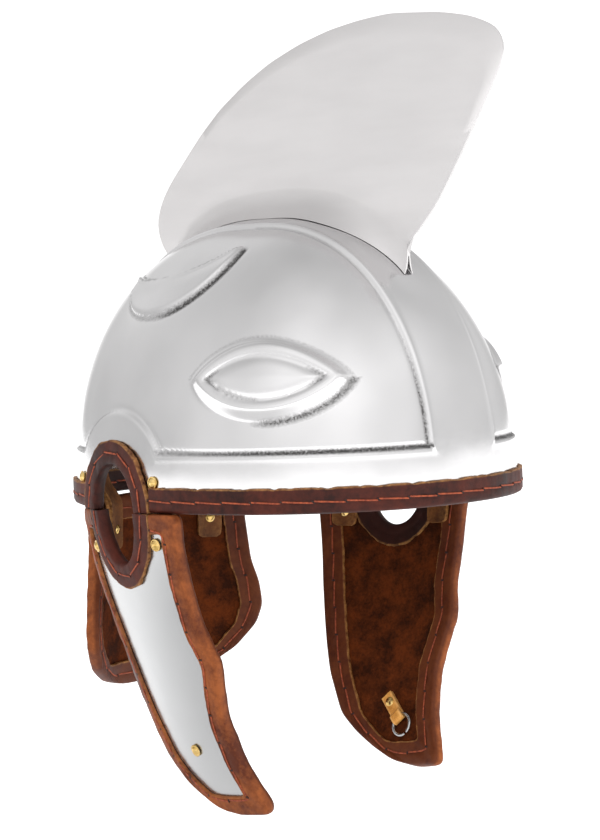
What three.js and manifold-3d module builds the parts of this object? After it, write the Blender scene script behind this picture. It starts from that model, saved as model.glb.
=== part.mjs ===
// Roman ridge helmet: a raised steel bowl with a tall crest plate, leather edging on the rim and
// round the ears, two hanging cheek guards and a hanging neck guard.
// Millimetres, +Z up. The origin is the middle of the rim, level with the top of its edging.
// The front looks to -Y, and the wearer's right is -X.

import * as THREE from 'three'
import { mergeVertices } from 'three/addons/utils/BufferGeometryUtils.js'
import Module from 'manifold-3d'

const wasm = await Module()
wasm.setup()

// Bowl: half its width, its reach to the front and back, and its height over the origin
const BOWL_HALF_WIDTH = 98.4
const BOWL_FRONT = 117.8
const BOWL_BACK = 123.3
const BOWL_HEIGHT = 130
const BOWL_WALL = 1.5

// Fullness of the bowl's curves: 2 is an ellipse, more is squarer
const PLAN_POWER = 2.14
const SIDE_POWER = 1.87
const FRONT_POWER = 2.2
const BACK_POWER = 2.42
const BOWL_SIDES = 32
const BOWL_LEVELS = 7
const EAR_SIDES = 14
const SHEET_COLUMNS = 5

// Raised bands on the bowl
const BAND_RISE = 1
const RIDGE_HALF_WIDTH = 22.4
const RIM_BAND_TOP = 15.3
const EAR_BAND = 13

// Leather edging and the clearance that separate pieces keep
const GAP = 0.3
const FACET_GAP = 0.75
const EDGE_LEATHER = 2
const EDGE_DEPTH = 12.7
const EAR_EDGE = 12.8

// Ear opening, centred on the joint between bowl and guard
const EAR_Y = 31
const EAR_HALF_WIDTH = 17.5
const EAR_RISE = 22.5
const EAR_DROP = 26.5

// Crest plate and its flared foot
const CREST_FRONT = 151.4
const CREST_BACK = 99.2
const CREST_TOP = 225.9
const CREST_PLATE = 1.6
const FOOT_HALF_WIDTH = 12.5
const FOOT_HEIGHT = 14
const FOOT_FRONT_ANGLE = 130.5
const FOOT_BACK_ANGLE = 52.5
const FOOT_RAKE = 0.35
const CREST_BASE = 98
const KEEL_STEPS = 13

// Cheek guard
const GUARD_LENGTH = 162
const GUARD_WIDTH = 100
const GUARD_RADIUS = 130
const GUARD_RELAX = 12
const GUARD_BEND = 50

// Neck guard
const NECK_LENGTH = 105
const NECK_WIDTH = 143.8
const NECK_RADIUS = 90

// Layers of a guard, from its outer face inwards, and the width of its border
const FLAP = 1.6
const PLATE = 1.2
const LINING = 1.5
const BORDER = 10.5

// Hinge straps
const STRAP = 2
const STRAP_WIDTH = 15
const STRAP_TOP = 11
const STRAP_DROP = 28

// Studs
const STUD_RADIUS = 3.2
const STUD_RISE = 1.9
const SHANK_RADIUS = 1.2
const STUD_BACK = 1
const STUD_HEIGHT = 2.2
const STUD_SIDES = 8
const STUD_LIFT = 1.5 * GAP

// How far the hinge studs lie from the ear opening, on the bowl and on the cheek guards
const FRONT_STUD_PAST_EAR = 15
const BACK_STUD_PAST_EAR = 19
const FRONT_HINGE_PAST_EAR = 14
const BACK_HINGE_PAST_EAR = 14.5
const FRONT_HINGE_DOWN = 16
const BACK_HINGE_DOWN = 20
const NECK_HINGE_DOWN = 17
const NECK_HINGE_SHARE = 0.27

// Ring and its tab
const RING_RADIUS = 5.9
const RING_WIRE = 0.6
const TAB_WIDTH = 7
const TAB_LEATHER = 1.2

const EDGE_CLEAR = BAND_RISE + GAP
const STRAP_FACE = BOWL_WALL + GAP + EDGE_LEATHER + FACET_GAP
const PLATE_FACE = FLAP + GAP
const LINING_FACE = PLATE_FACE + PLATE + GAP
const INNER_FLAP_FACE = LINING_FACE + LINING + GAP
const GUARD_STACK = INNER_FLAP_FACE + FLAP
const JOINT_Z = -EDGE_DEPTH
const GUARD_Z = JOINT_Z - 2 * GAP
const SKIRT = EDGE_DEPTH + 4
const BEYOND = 400
const CUTTER_MARGIN = 16
const SHEET_MARGIN = 8

const { PI, abs, cos, sin, pow, max, min, atan2, hypot, round } = Math
const radians = THREE.MathUtils.degToRad
const lerp = THREE.MathUtils.lerp

const materials = {
  steel: { color: 0xc4c6c8, roughness: 0.3, metalness: 1 },
  crest: { color: 0xbdbdbf, roughness: 0.45, metalness: 1 },
  darkLeather: { color: 0x4a211a, roughness: 0.65, metalness: 0 },
  edgeLeather: { color: 0x7a3a1c, roughness: 0.7, metalness: 0 },
  suede: { color: 0x4c2c18, roughness: 0.9, metalness: 0 },
  tan: { color: 0xb06f34, roughness: 0.7, metalness: 0 },
  brass: { color: 0xd8b45a, roughness: 0.3, metalness: 1 },
  ringSteel: { color: 0xb9bcc0, roughness: 0.25, metalness: 1 }
}

const helmet = new THREE.Group()

// Geometry to solid and back

function signedVolume(geometry) {
  const { position } = geometry.attributes
  const { index } = geometry
  const a = new THREE.Vector3()
  const b = new THREE.Vector3()
  const c = new THREE.Vector3()
  let volume = 0
  for (let i = 0; i < index.count; i += 3) {
    a.fromBufferAttribute(position, index.getX(i))
    b.fromBufferAttribute(position, index.getX(i + 1))
    c.fromBufferAttribute(position, index.getX(i + 2))
    volume += a.dot(b.cross(c)) / 6
  }
  return volume
}

function solidOf(geometry) {
  const bare = geometry.clone()
  bare.deleteAttribute('normal')
  bare.deleteAttribute('uv')
  const merged = mergeVertices(bare, 1e-4)
  const triangles = Uint32Array.from(merged.index.array)
  if (signedVolume(merged) < 0) triangles.reverse()
  const points = Float32Array.from(merged.attributes.position.array)
  return new wasm.Manifold(new wasm.Mesh({ numProp: 3, vertProperties: points, triVerts: triangles }))
}

function geometryOf(solid) {
  const mesh = solid.getMesh()
  const geometry = new THREE.BufferGeometry()
  geometry.setAttribute('position', new THREE.Float32BufferAttribute(mesh.vertProperties, 3))
  geometry.setIndex(Array.from(mesh.triVerts))
  geometry.computeVertexNormals()
  return geometry
}

function addPiece(name, solid, finish) {
  const mesh = new THREE.Mesh(geometryOf(solid), new THREE.MeshStandardMaterial(materials[finish]))
  mesh.name = name
  helmet.add(mesh)
}

// A geometry with each of its points moved by a function
function mapped(geometry, place) {
  const copy = geometry.clone()
  const { position } = copy.attributes
  const point = new THREE.Vector3()
  for (let i = 0; i < position.count; i++) {
    point.fromBufferAttribute(position, i)
    position.setXYZ(i, ...place(point.x, point.y, point.z).toArray())
  }
  return solidOf(copy)
}

function shapeOf(points) {
  return new THREE.Shape(points.map(([x, y]) => new THREE.Vector2(x, y)))
}

function extruded(points, depth, steps = 1) {
  return new THREE.ExtrudeGeometry(shapeOf(points), { depth, steps, bevelEnabled: false })
}

function ellipsePoints(centreX, centreY, radiusX, radiusY, sides) {
  const points = []
  for (let i = 0; i < sides; i++) {
    const turn = 2 * PI * i / sides
    points.push([centreX + radiusX * cos(turn), centreY + radiusY * sin(turn)])
  }
  return points
}

function boxSolid(low, high) {
  const size = high.map((value, i) => value - low[i])
  const middle = high.map((value, i) => (value + low[i]) / 2)
  return solidOf(new THREE.BoxGeometry(...size).translate(...middle))
}

// A bar of an outline in Y and Z, across the whole helmet along X
function crossBar(points, halfWidth) {
  return mapped(extruded(points, 2 * halfWidth), (y, z, x) => new THREE.Vector3(x - halfWidth, y, z))
}

// Bowl surface

function domeShare(point, grow) {
  const front = point.y < 0
  const across = pow(abs(point.x) / (BOWL_HALF_WIDTH + grow), PLAN_POWER)
  const along = pow(abs(point.y) / ((front ? BOWL_FRONT : BOWL_BACK) + grow), PLAN_POWER)
  const endPower = front ? FRONT_POWER : BACK_POWER
  const power = lerp(SIDE_POWER, endPower, along / max(across + along, 1e-9))
  const plan = pow(across + along, 1 / PLAN_POWER)
  return pow(pow(plan, power) + pow(abs(point.z) / (BOWL_HEIGHT + grow), power), 1 / power)
}

// The point of the bowl's surface in a direction from the origin, on a copy grown all round
function onDome(x, y, z, grow = 0) {
  const direction = new THREE.Vector3(x, y, z)
  return direction.divideScalar(domeShare(direction, grow))
}

// The bowl's point at a plan bearing, measured from +X towards +Y, and a height
function atHeight(bearing, z, grow = 0) {
  const level = max(z, 0)
  let low = 1
  let high = BEYOND
  for (let i = 0; i < 40; i++) {
    const reach = (low + high) / 2
    const point = new THREE.Vector3(reach * cos(bearing), reach * sin(bearing), level)
    if (domeShare(point, grow) < 1) low = reach
    else high = reach
  }
  return new THREE.Vector3(low * cos(bearing), low * sin(bearing), z)
}

// The bearing where the bowl's rim has a given y, on the wearer's left
function bearingAt(y) {
  let low = -PI / 2
  let high = PI / 2
  for (let i = 0; i < 40; i++) {
    const middle = (low + high) / 2
    if (atHeight(middle, 0).y < y) low = middle
    else high = middle
  }
  return low
}

// A closed mesh through rings of points, with a fan to a point at each end
function loft(rings, firstTip, lastTip) {
  const sides = rings[0].length
  const positions = []
  rings.forEach(ring => ring.forEach(point => positions.push(...point.toArray())))
  positions.push(...firstTip.toArray(), ...lastTip.toArray())
  const first = rings.length * sides
  const last = first + 1
  const triangles = []
  for (let side = 0; side < sides; side++) {
    const next = (side + 1) % sides
    triangles.push(first, next, side)
    for (let ring = 0; ring < rings.length - 1; ring++) {
      const low = ring * sides
      const high = low + sides
      triangles.push(low + side, low + next, high + next, low + side, high + next, high + side)
    }
    const top = (rings.length - 1) * sides
    triangles.push(top + side, top + next, last)
  }
  const geometry = new THREE.BufferGeometry()
  geometry.setAttribute('position', new THREE.Float32BufferAttribute(positions, 3))
  geometry.setIndex(triangles)
  return solidOf(geometry)
}

function centreOf(ring) {
  const centre = new THREE.Vector3()
  ring.forEach(point => centre.add(point))
  return centre.divideScalar(ring.length)
}

// The whole inside of the bowl's surface, with a straight skirt below the origin
function domeSolid(grow) {
  const rings = []
  for (let level = 0; level < BOWL_LEVELS; level++) {
    const climb = PI / 2 * level / BOWL_LEVELS
    const ring = []
    for (let side = 0; side < BOWL_SIDES; side++) {
      const turn = 2 * PI * side / BOWL_SIDES
      const reach = sin(turn) < 0 ? BOWL_FRONT : BOWL_BACK
      const x = BOWL_HALF_WIDTH * cos(turn) * cos(climb)
      const y = reach * sin(turn) * cos(climb)
      ring.push(onDome(x, y, BOWL_HEIGHT * sin(climb), grow))
    }
    rings.push(ring)
  }
  rings.unshift(rings[0].map(point => new THREE.Vector3(point.x, point.y, -SKIRT)))
  return loft(rings, new THREE.Vector3(0, 0, -SKIRT), onDome(0, 0, 1, grow))
}

// Ear opening, grown by a margin: an arch over the joint and a deeper one under it
function earArch(grow) {
  return crossBar(ellipsePoints(EAR_Y, JOINT_Z, EAR_HALF_WIDTH + grow, EAR_RISE + grow, EAR_SIDES), BEYOND)
}

// Embossed eye on the side of the bowl, in rings from its outer foot to its middle: its half
// lengths are shares of the eye's own, and its lifts shares of the eye's rise
const EYE_BEARING = 36.5
const EYE_HEIGHT = 51
const EYE_HALF_SPAN = 25
const EYE_HALF_HEIGHT = 20.5
const EYE_RISE = 3.4
const EYE_SINK = 1
const EYE_POINTS = 14
const EYE_RINGS = [
  { span: 1, height: 1, lift: -0.1, point: 0.5 },
  { span: 0.8, height: 0.75, lift: 1, point: 0.6 },
  { span: 0.73, height: 0.6, lift: 0.45, point: 0.75 },
  { span: 0.7, height: 0.51, lift: 0.85, point: 0.95 },
  { span: 0.4, height: 0.28, lift: 1.1, point: 0.9 }
]

function eyeSolid(side) {
  function eyePoint(row, share, grow) {
    const turn = 2 * PI * share
    const bearing = radians(EYE_BEARING + EYE_HALF_SPAN * row.span * cos(turn))
    const rise = EYE_HALF_HEIGHT * row.height * sin(turn) * pow(abs(sin(turn)), row.point)
    const point = atHeight(-bearing, EYE_HEIGHT + rise, grow)
    point.x *= side
    return point
  }
  function eyeRing(row, grow) {
    return Array.from({ length: EYE_POINTS }, (_, i) => eyePoint(row, i / EYE_POINTS, grow))
  }
  const rings = EYE_RINGS.map(row => eyeRing(row, row.lift * EYE_RISE))
  rings.unshift(eyeRing(EYE_RINGS[0], -EYE_SINK))
  return loft(rings, centreOf(rings[0]), centreOf(rings[rings.length - 1]))
}

// Raised crescent above the ear: the sickle between two circles, its horns up towards the ridge
const MOON_AIM = { across: 42, along: 23, up: 100 }
const MOON_RADIUS = 38.5
const MOON_BITE = 30.5
const MOON_BITE_ALONG = -5
const MOON_BITE_UP = 15.5
const MOON_RISE = 1.9
const MOON_SLOPE = 1.6
const MOON_STEPS = 8

function moonSolid(side) {
  const centre = onDome(MOON_AIM.across, MOON_AIM.along, MOON_AIM.up)
  const along = new THREE.Vector3(0, 1, 0)
  const outward = centre.clone().normalize()
  along.addScaledVector(outward, -along.dot(outward)).normalize()
  const up = new THREE.Vector3().crossVectors(along, outward)
  if (up.z < 0) up.negate()
  function place(u, v, lift) {
    const spot = centre.clone().addScaledVector(along, u).addScaledVector(up, v)
    const point = onDome(spot.x, spot.y, spot.z, lift)
    point.x *= side
    return point
  }
  // The two circles meet at the horns, which lie this far from the line between their centres
  const apart = hypot(MOON_BITE_ALONG, MOON_BITE_UP)
  const foot = (apart * apart + MOON_RADIUS * MOON_RADIUS - MOON_BITE * MOON_BITE) / (2 * apart)
  const aim = atan2(MOON_BITE_UP, MOON_BITE_ALONG)
  const outerHorn = Math.acos(foot / MOON_RADIUS)
  const biteHorn = Math.acos((foot - apart) / MOON_BITE)
  const rings = []
  for (let step = 0; step <= MOON_STEPS; step++) {
    const share = lerp(0.015, 0.985, step / MOON_STEPS)
    const outerTurn = aim + lerp(outerHorn, 2 * PI - outerHorn, share)
    const biteTurn = aim + lerp(biteHorn, 2 * PI - biteHorn, share)
    const outerU = MOON_RADIUS * cos(outerTurn)
    const outerV = MOON_RADIUS * sin(outerTurn)
    const biteU = MOON_BITE_ALONG + MOON_BITE * cos(biteTurn)
    const biteV = MOON_BITE_UP + MOON_BITE * sin(biteTurn)
    const slope = min(0.3, MOON_SLOPE / hypot(outerU - biteU, outerV - biteV))
    rings.push([
      place(outerU, outerV, -EYE_SINK),
      place(outerU, outerV, 0),
      place(lerp(outerU, biteU, slope), lerp(outerV, biteV, slope), MOON_RISE),
      place(lerp(biteU, outerU, slope), lerp(biteV, outerV, slope), MOON_RISE * 0.8),
      place(biteU, biteV, 0),
      place(biteU, biteV, -EYE_SINK)
    ])
  }
  return loft(rings, centreOf(rings[0]), centreOf(rings[MOON_STEPS]))
}

// Studs: a low domed head, a shank and a flat back, from where the head seats to where the back does

function studSolid(seat, inward, grip) {
  const profile = [
    [0, -STUD_RISE],
    [STUD_RADIUS * 0.8, -STUD_RISE * 0.7],
    [STUD_RADIUS, 0],
    [SHANK_RADIUS, 0],
    [SHANK_RADIUS, grip],
    [STUD_RADIUS * 0.8, grip],
    [0, grip + STUD_BACK]
  ]
  const turned = new THREE.LatheGeometry(profile.map(([r, h]) => new THREE.Vector2(r, h)), STUD_SIDES)
  turned.applyQuaternion(new THREE.Quaternion().setFromUnitVectors(new THREE.Vector3(0, 1, 0), inward))
  return solidOf(turned.translate(seat.x, seat.y, seat.z))
}

function drill(seat, inward, radius, start, end) {
  const bar = new THREE.CylinderGeometry(radius, radius, end - start, STUD_SIDES)
  bar.translate(0, (start + end) / 2, 0)
  bar.applyQuaternion(new THREE.Quaternion().setFromUnitVectors(new THREE.Vector3(0, 1, 0), inward))
  return solidOf(bar.translate(seat.x, seat.y, seat.z))
}

const HOLE_RADIUS = (SHANK_RADIUS + GAP) / cos(PI / STUD_SIDES)

// Places of the hinge straps: the bowl's stud by its y, and the guard's by its place on the sheet
const HINGES = [
  {
    end: 'front',
    bowlY: EAR_Y - EAR_HALF_WIDTH - FRONT_STUD_PAST_EAR,
    along: -EAR_HALF_WIDTH - FRONT_HINGE_PAST_EAR,
    down: FRONT_HINGE_DOWN
  },
  {
    end: 'back',
    bowlY: EAR_Y + EAR_HALF_WIDTH + BACK_STUD_PAST_EAR,
    along: EAR_HALF_WIDTH + BACK_HINGE_PAST_EAR,
    down: BACK_HINGE_DOWN
  }
]
const NECK_HINGES = [
  { end: 'right', along: -NECK_HINGE_SHARE * NECK_WIDTH, down: NECK_HINGE_DOWN },
  { end: 'left', along: NECK_HINGE_SHARE * NECK_WIDTH, down: NECK_HINGE_DOWN }
]

function bowlStud(bearing, mirror) {
  const seat = atHeight(bearing, STUD_HEIGHT, EDGE_CLEAR)
  const inner = atHeight(bearing, STUD_HEIGHT, 0)
  const step = 0.02
  const ahead = atHeight(bearing + step, STUD_HEIGHT)
  const tangent = ahead.sub(atHeight(bearing - step, STUD_HEIGHT)).normalize()
  const inward = new THREE.Vector3(-tangent.y, tangent.x, 0)
  if (inward.dot(inner) > 0) inward.negate()
  seat.x *= mirror
  inward.x *= mirror
  return { seat, inward, grip: EDGE_CLEAR + STRAP_FACE + STRAP + FACET_GAP }
}

const bowlStuds = []
for (const { name, mirror } of [{ name: 'right', mirror: -1 }, { name: 'left', mirror: 1 }]) {
  for (const hinge of HINGES) {
    bowlStuds.push({ name: `bowl_stud_${name}_${hinge.end}`, ...bowlStud(bearingAt(hinge.bowlY), mirror) })
  }
}

// Bearings of the neck guard's studs, which sit over its hinge straps
function neckBearing(hinge) {
  return PI / 2 - hinge.along / (BOWL_BACK * 0.86)
}
for (const hinge of NECK_HINGES) {
  bowlStuds.push({ name: `bowl_stud_neck_${hinge.end}`, ...bowlStud(neckBearing(hinge), 1) })
}

// Bowl: one raised steel shell

function makeBowl() {
  const base = domeSolid(0)
  const ridge = boxSolid([-RIDGE_HALF_WIDTH, -BEYOND, -BEYOND], [RIDGE_HALF_WIDTH, BEYOND, BEYOND])
  const rim = boxSolid([-BEYOND, -BEYOND, -BEYOND], [BEYOND, BEYOND, RIM_BAND_TOP])
  const bands = domeSolid(BAND_RISE).intersect(ridge.add(rim).add(earArch(EAR_EDGE + EAR_BAND)))
  let shell = base.add(bands)
  for (const side of [-1, 1]) shell = shell.add(eyeSolid(side)).add(moonSolid(side))
  const below = boxSolid([-BEYOND, -BEYOND, -BEYOND], [BEYOND, BEYOND, JOINT_Z + EDGE_LEATHER + GAP])
  shell = shell.subtract(domeSolid(-BOWL_WALL)).subtract(below)
  shell = shell.subtract(earArch(EDGE_LEATHER + GAP))
  for (const stud of bowlStuds) {
    shell = shell.subtract(drill(stud.seat, stud.inward, HOLE_RADIUS, -1, stud.grip))
  }
  addPiece('bowl', shell, 'steel')
}

// Rim edging: a leather strip folded over the rim and round both ear openings

function makeRimEdging() {
  const outer = domeSolid(EDGE_CLEAR + EDGE_LEATHER)
  const inner = domeSolid(-BOWL_WALL - GAP - EDGE_LEATHER)
  const strip = boxSolid([-BEYOND, -BEYOND, JOINT_Z], [BEYOND, BEYOND, 0])
  const above = boxSolid([-BEYOND, -BEYOND, JOINT_Z], [BEYOND, BEYOND, BEYOND])
  const region = strip.add(earArch(EAR_EDGE).intersect(above))
  const slotFloor = JOINT_Z + EDGE_LEATHER
  const slotRegion = boxSolid([-BEYOND, -BEYOND, slotFloor], [BEYOND, BEYOND, BEYOND])
  const slot = domeSolid(EDGE_CLEAR).subtract(domeSolid(-BOWL_WALL - GAP))
  let edging = outer.subtract(inner).intersect(region)
  edging = edging.subtract(slot.intersect(slotRegion).subtract(earArch(EDGE_LEATHER)))
  edging = edging.subtract(earArch(0))
  const headRadius = STUD_RADIUS + 2 * GAP
  for (const stud of bowlStuds) {
    edging = edging.subtract(drill(stud.seat, stud.inward, headRadius, -STUD_RISE * 2, EDGE_LEATHER))
    edging = edging.subtract(drill(stud.seat, stud.inward, HOLE_RADIUS, 0, stud.grip))
  }
  addPiece('rim_edging', edging, 'darkLeather')
}

// Crest plate: its outline, as shares of the crest's length and of its height over the front foot
const CREST_OUTLINE = [
  { along: 0.248, up: 0.147 },
  { along: 0.206, up: 0.223 },
  { along: 0.178, up: 0.277 },
  { along: 0.1, up: 0.49 },
  { along: 0.028, up: 0.7 },
  { along: 0.006, up: 0.769 },
  { along: 0, up: 0.823 },
  { along: 0.005, up: 0.857 },
  { along: 0.023, up: 0.901 },
  { along: 0.084, up: 0.949 },
  { along: 0.16, up: 0.978 },
  { along: 0.29, up: 1 },
  { along: 0.373, up: 0.99 },
  { along: 0.456, up: 0.969 },
  { along: 0.543, up: 0.93 },
  { along: 0.632, up: 0.872 },
  { along: 0.709, up: 0.801 },
  { along: 0.789, up: 0.708 },
  { along: 0.854, up: 0.607 },
  { along: 0.949, up: 0.433 },
  { along: 0.981, up: 0.36 },
  { along: 1, up: 0.278 },
  { along: 0.999, up: 0.224 },
  { along: 0.988, up: 0.167 },
  { along: 0.963, up: 0.109 },
  { along: 0.945, up: 0.09 }
]

// Half of the foot's section, as shares of its half width and height: outer face, then inner face
const FOOT_SECTION = [
  { spread: 1, outer: 0.04, inner: 0 },
  { spread: 0.66, outer: 0.15, inner: 0.06 },
  { spread: 0.38, outer: 0.36, inner: 0.24 },
  { spread: 0.19, outer: 0.66, inner: 0.5 }
]

function makeCrest() {
  const seat = EDGE_CLEAR
  const halfPlate = CREST_PLATE / 2
  const length = CREST_FRONT + CREST_BACK
  // A point over the ridge: the foot's ends rake back as they rise
  function ridgePoint(share, lift, across = 0) {
    const front = FOOT_FRONT_ANGLE - lift * FOOT_RAKE
    const angle = radians(lerp(front, FOOT_BACK_ANGLE + lift * FOOT_RAKE, share))
    return onDome(across, cos(angle) * BOWL_HEIGHT, sin(angle) * BOWL_HEIGHT, seat + lift)
  }
  const edge = CREST_OUTLINE.map(row => new THREE.Vector2(
    row.along * length - CREST_FRONT,
    lerp(CREST_BASE, CREST_TOP, row.up)
  ))
  const outline = new THREE.SplineCurve(edge).getPoints(edge.length).map(p => [p.x, p.y])
  const keel = []
  for (let step = 0; step <= KEEL_STEPS; step++) {
    const point = ridgePoint(1 - step / KEEL_STEPS, FOOT_HEIGHT * 0.75)
    keel.push([point.y, point.z])
  }
  const plate = crossBar([...outline, ...keel], halfPlate)

  const outerHalf = FOOT_SECTION.map(row => [row.spread * FOOT_HALF_WIDTH, row.outer * FOOT_HEIGHT])
  const innerHalf = FOOT_SECTION.map(row => [row.spread * FOOT_HALF_WIDTH * 0.86, row.inner * FOOT_HEIGHT])
  outerHalf.push([halfPlate, FOOT_HEIGHT])
  innerHalf.push([halfPlate * 0.4, FOOT_HEIGHT * 0.62])
  const mirrored = half => half.map(([x, y]) => [-x, y]).reverse()
  const underside = [...mirrored(innerHalf).reverse(), ...innerHalf.slice().reverse()]
  const section = [...outerHalf, ...mirrored(outerHalf), ...underside]
  const foot = mapped(extruded(section, 1, KEEL_STEPS), (across, lift, share) => {
    return ridgePoint(share, lift, across)
  })
  addPiece('crest_plate', foot.add(plate), 'crest')
}

// Guards: every layer is cut from a bent sheet, placed by how far along and down it a point
// lies and how far in from the outer face

function hangingSheet({ out, along: shift, yaw, lean, relax, bend, roll, radius, mirror, back }) {
  const tilt = radians(roll)
  const endLean = radians(lean)
  const topLean = radians(lean - relax)
  const rate = (endLean - topLean) / bend
  const turn = radians(yaw)
  return function place(along, down, inward) {
    const s = along * cos(tilt) - down * sin(tilt)
    const d = down * cos(tilt) + along * sin(tilt)
    const bent = min(d, bend)
    const angle = topLean + rate * bent
    const straight = d - bent
    let fall = bent
    let inset = 0
    if (abs(rate) > 1e-9) {
      fall = (sin(angle) - sin(topLean)) / rate
      inset = (cos(topLean) - cos(angle)) / rate
    }
    fall += straight * cos(angle)
    inset += straight * sin(angle)
    const swell = (radius - inward) * cos(s / radius) - radius
    const sideways = (radius - inward) * sin(s / radius)
    const outwards = swell * cos(angle) - inset
    const z = GUARD_Z - fall - swell * sin(angle)
    if (back) return new THREE.Vector3(sideways, out + outwards, z)
    const x = out + cos(turn) * outwards - sin(turn) * sideways
    const y = shift + sin(turn) * outwards + cos(turn) * sideways
    return new THREE.Vector3(mirror * x, y, z)
  }
}

function sheetLayer(place, from, to, reach, downs) {
  const columns = SHEET_COLUMNS
  const rows = downs.length - 1
  const block = new THREE.BoxGeometry(1, 1, 1, columns, rows, 1)
  return mapped(block, (x, y, z) => {
    return place(x * 2 * reach, downs[round((y + 0.5) * rows)], z < 0 ? from : to)
  })
}

function sheetCutter(place, points) {
  const bar = extruded(points, 2 * CUTTER_MARGIN + GUARD_STACK)
  return mapped(bar, (along, down, depth) => place(along, down, depth - CUTTER_MARGIN))
}

// Outline of a guard from its table, drawn in by an inset, down one side and up the other
function guardOutline(table, length, width, inset) {
  const rows = table.map(row => ({
    down: row.down * length,
    front: row.front * width,
    back: row.back * width
  }))
  function cutAt(down) {
    const next = rows.findIndex(row => row.down >= down)
    const below = rows[max(next, 1)]
    const above = rows[max(next, 1) - 1]
    const share = (down - above.down) / (below.down - above.down)
    return { down, front: lerp(above.front, below.front, share), back: lerp(above.back, below.back, share) }
  }
  const kept = rows.filter(row => row.down > inset + 0.5 && row.down < length - inset - 0.5)
  const clipped = [cutAt(inset), ...kept, cutAt(length - inset)]
  const front = clipped.map(row => [row.front + inset, row.down])
  const back = clipped.map(row => [row.back - inset, row.down]).reverse()
  return [...front, ...back]
}

// Cheek guard's edges at stations down it, as shares of its length and width
const CHEEK_TABLE = [
  { down: 0, front: -0.46, back: 0.49 },
  { down: 0.02, front: -0.488, back: 0.5 },
  { down: 0.12, front: -0.47, back: 0.485 },
  { down: 0.38, front: -0.453, back: 0.42 },
  { down: 0.5, front: -0.492, back: 0.384 },
  { down: 0.585, front: -0.45, back: 0.355 },
  { down: 0.68, front: -0.415, back: 0.315 },
  { down: 0.82, front: -0.432, back: 0.215 },
  { down: 0.88, front: -0.46, back: 0.11 },
  { down: 0.93, front: -0.49, back: -0.01 },
  { down: 0.975, front: -0.517, back: -0.15 },
  { down: 1, front: -0.51, back: -0.34 }
]

// Neck guard's edges, in the same way
const NECK_TABLE = [
  { down: 0, half: 0.41 },
  { down: 0.4, half: 0.453 },
  { down: 0.52, half: 0.486 },
  { down: 0.64, half: 0.5 },
  { down: 0.743, half: 0.475 },
  { down: 0.867, half: 0.391 },
  { down: 0.956, half: 0.281 },
  { down: 0.985, half: 0.2 },
  { down: 1, half: 0.1 }
].map(row => ({ down: row.down, front: -row.half, back: row.half }))

// A strap from the bowl's inner face down to the inner face of a guard
function strapSolid({ bearing, turn, mirror, place, guardRoom, hinge }) {
  const half = STRAP_WIDTH / 2
  const spread = half / atHeight(bearing, 0).length()
  const near = STRAP_FACE
  const seat = GUARD_STACK + FACET_GAP
  function bowlRing(z, width) {
    function corner(side, depth) {
      const point = atHeight(bearing + turn * side * width * spread, z, -depth)
      point.x *= mirror
      return point
    }
    return [corner(-1, near), corner(1, near), corner(1, near + STRAP), corner(-1, near + STRAP)]
  }
  function guardRing(down, width) {
    const low = hinge.along - half * width
    const high = hinge.along + half * width
    return [
      place(low, down, seat),
      place(high, down, seat),
      place(high, down, seat + STRAP),
      place(low, down, seat + STRAP)
    ]
  }
  // At the joint the strap keeps clear of whichever of the two lies further in
  const fromAxis = ring => hypot(centreOf(ring).x, centreOf(ring).y)
  const joint = [bowlRing(JOINT_Z - 1.5, 1), guardRing(1, 1)].sort((a, b) => fromAxis(a) - fromAxis(b))[0]
  const rings = [
    bowlRing(STRAP_TOP, 0.6),
    bowlRing(STRAP_TOP - 3, 1),
    bowlRing(-STRAP_WIDTH / 3, 1),
    joint,
    guardRing(9, 1),
    guardRing(STRAP_DROP - 3, 1),
    guardRing(STRAP_DROP, 0.6)
  ]
  const strap = loft(rings, centreOf(rings[0]), centreOf(rings[rings.length - 1]))
  const below = boxSolid([-BEYOND, -BEYOND, -BEYOND], [BEYOND, BEYOND, JOINT_Z])
  return strap.subtract(guardRoom.intersect(below)).subtract(rimRoom())
}

// The room of the rim and its edging, with a gap all round, that the straps keep out of
function rimRoom() {
  const above = boxSolid([-BEYOND, -BEYOND, JOINT_Z - GAP], [BEYOND, BEYOND, RIM_BAND_TOP])
  return domeSolid(EDGE_CLEAR).subtract(domeSolid(GAP - STRAP_FACE)).intersect(above)
}

// Where a stud goes through a guard's sheet
function sheetStud(place, along, down, grip) {
  const seat = place(along, down, PLATE_FACE - STUD_LIFT)
  const deep = place(along, down, PLATE_FACE - STUD_LIFT + grip)
  const inward = deep.sub(seat).normalize()
  return { seat, inward, grip }
}

function drilled(solid, studs) {
  let cut = solid
  for (const stud of studs) {
    cut = cut.subtract(drill(stud.seat, stud.inward, HOLE_RADIUS, -1, stud.grip + GAP))
  }
  return cut
}

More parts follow.
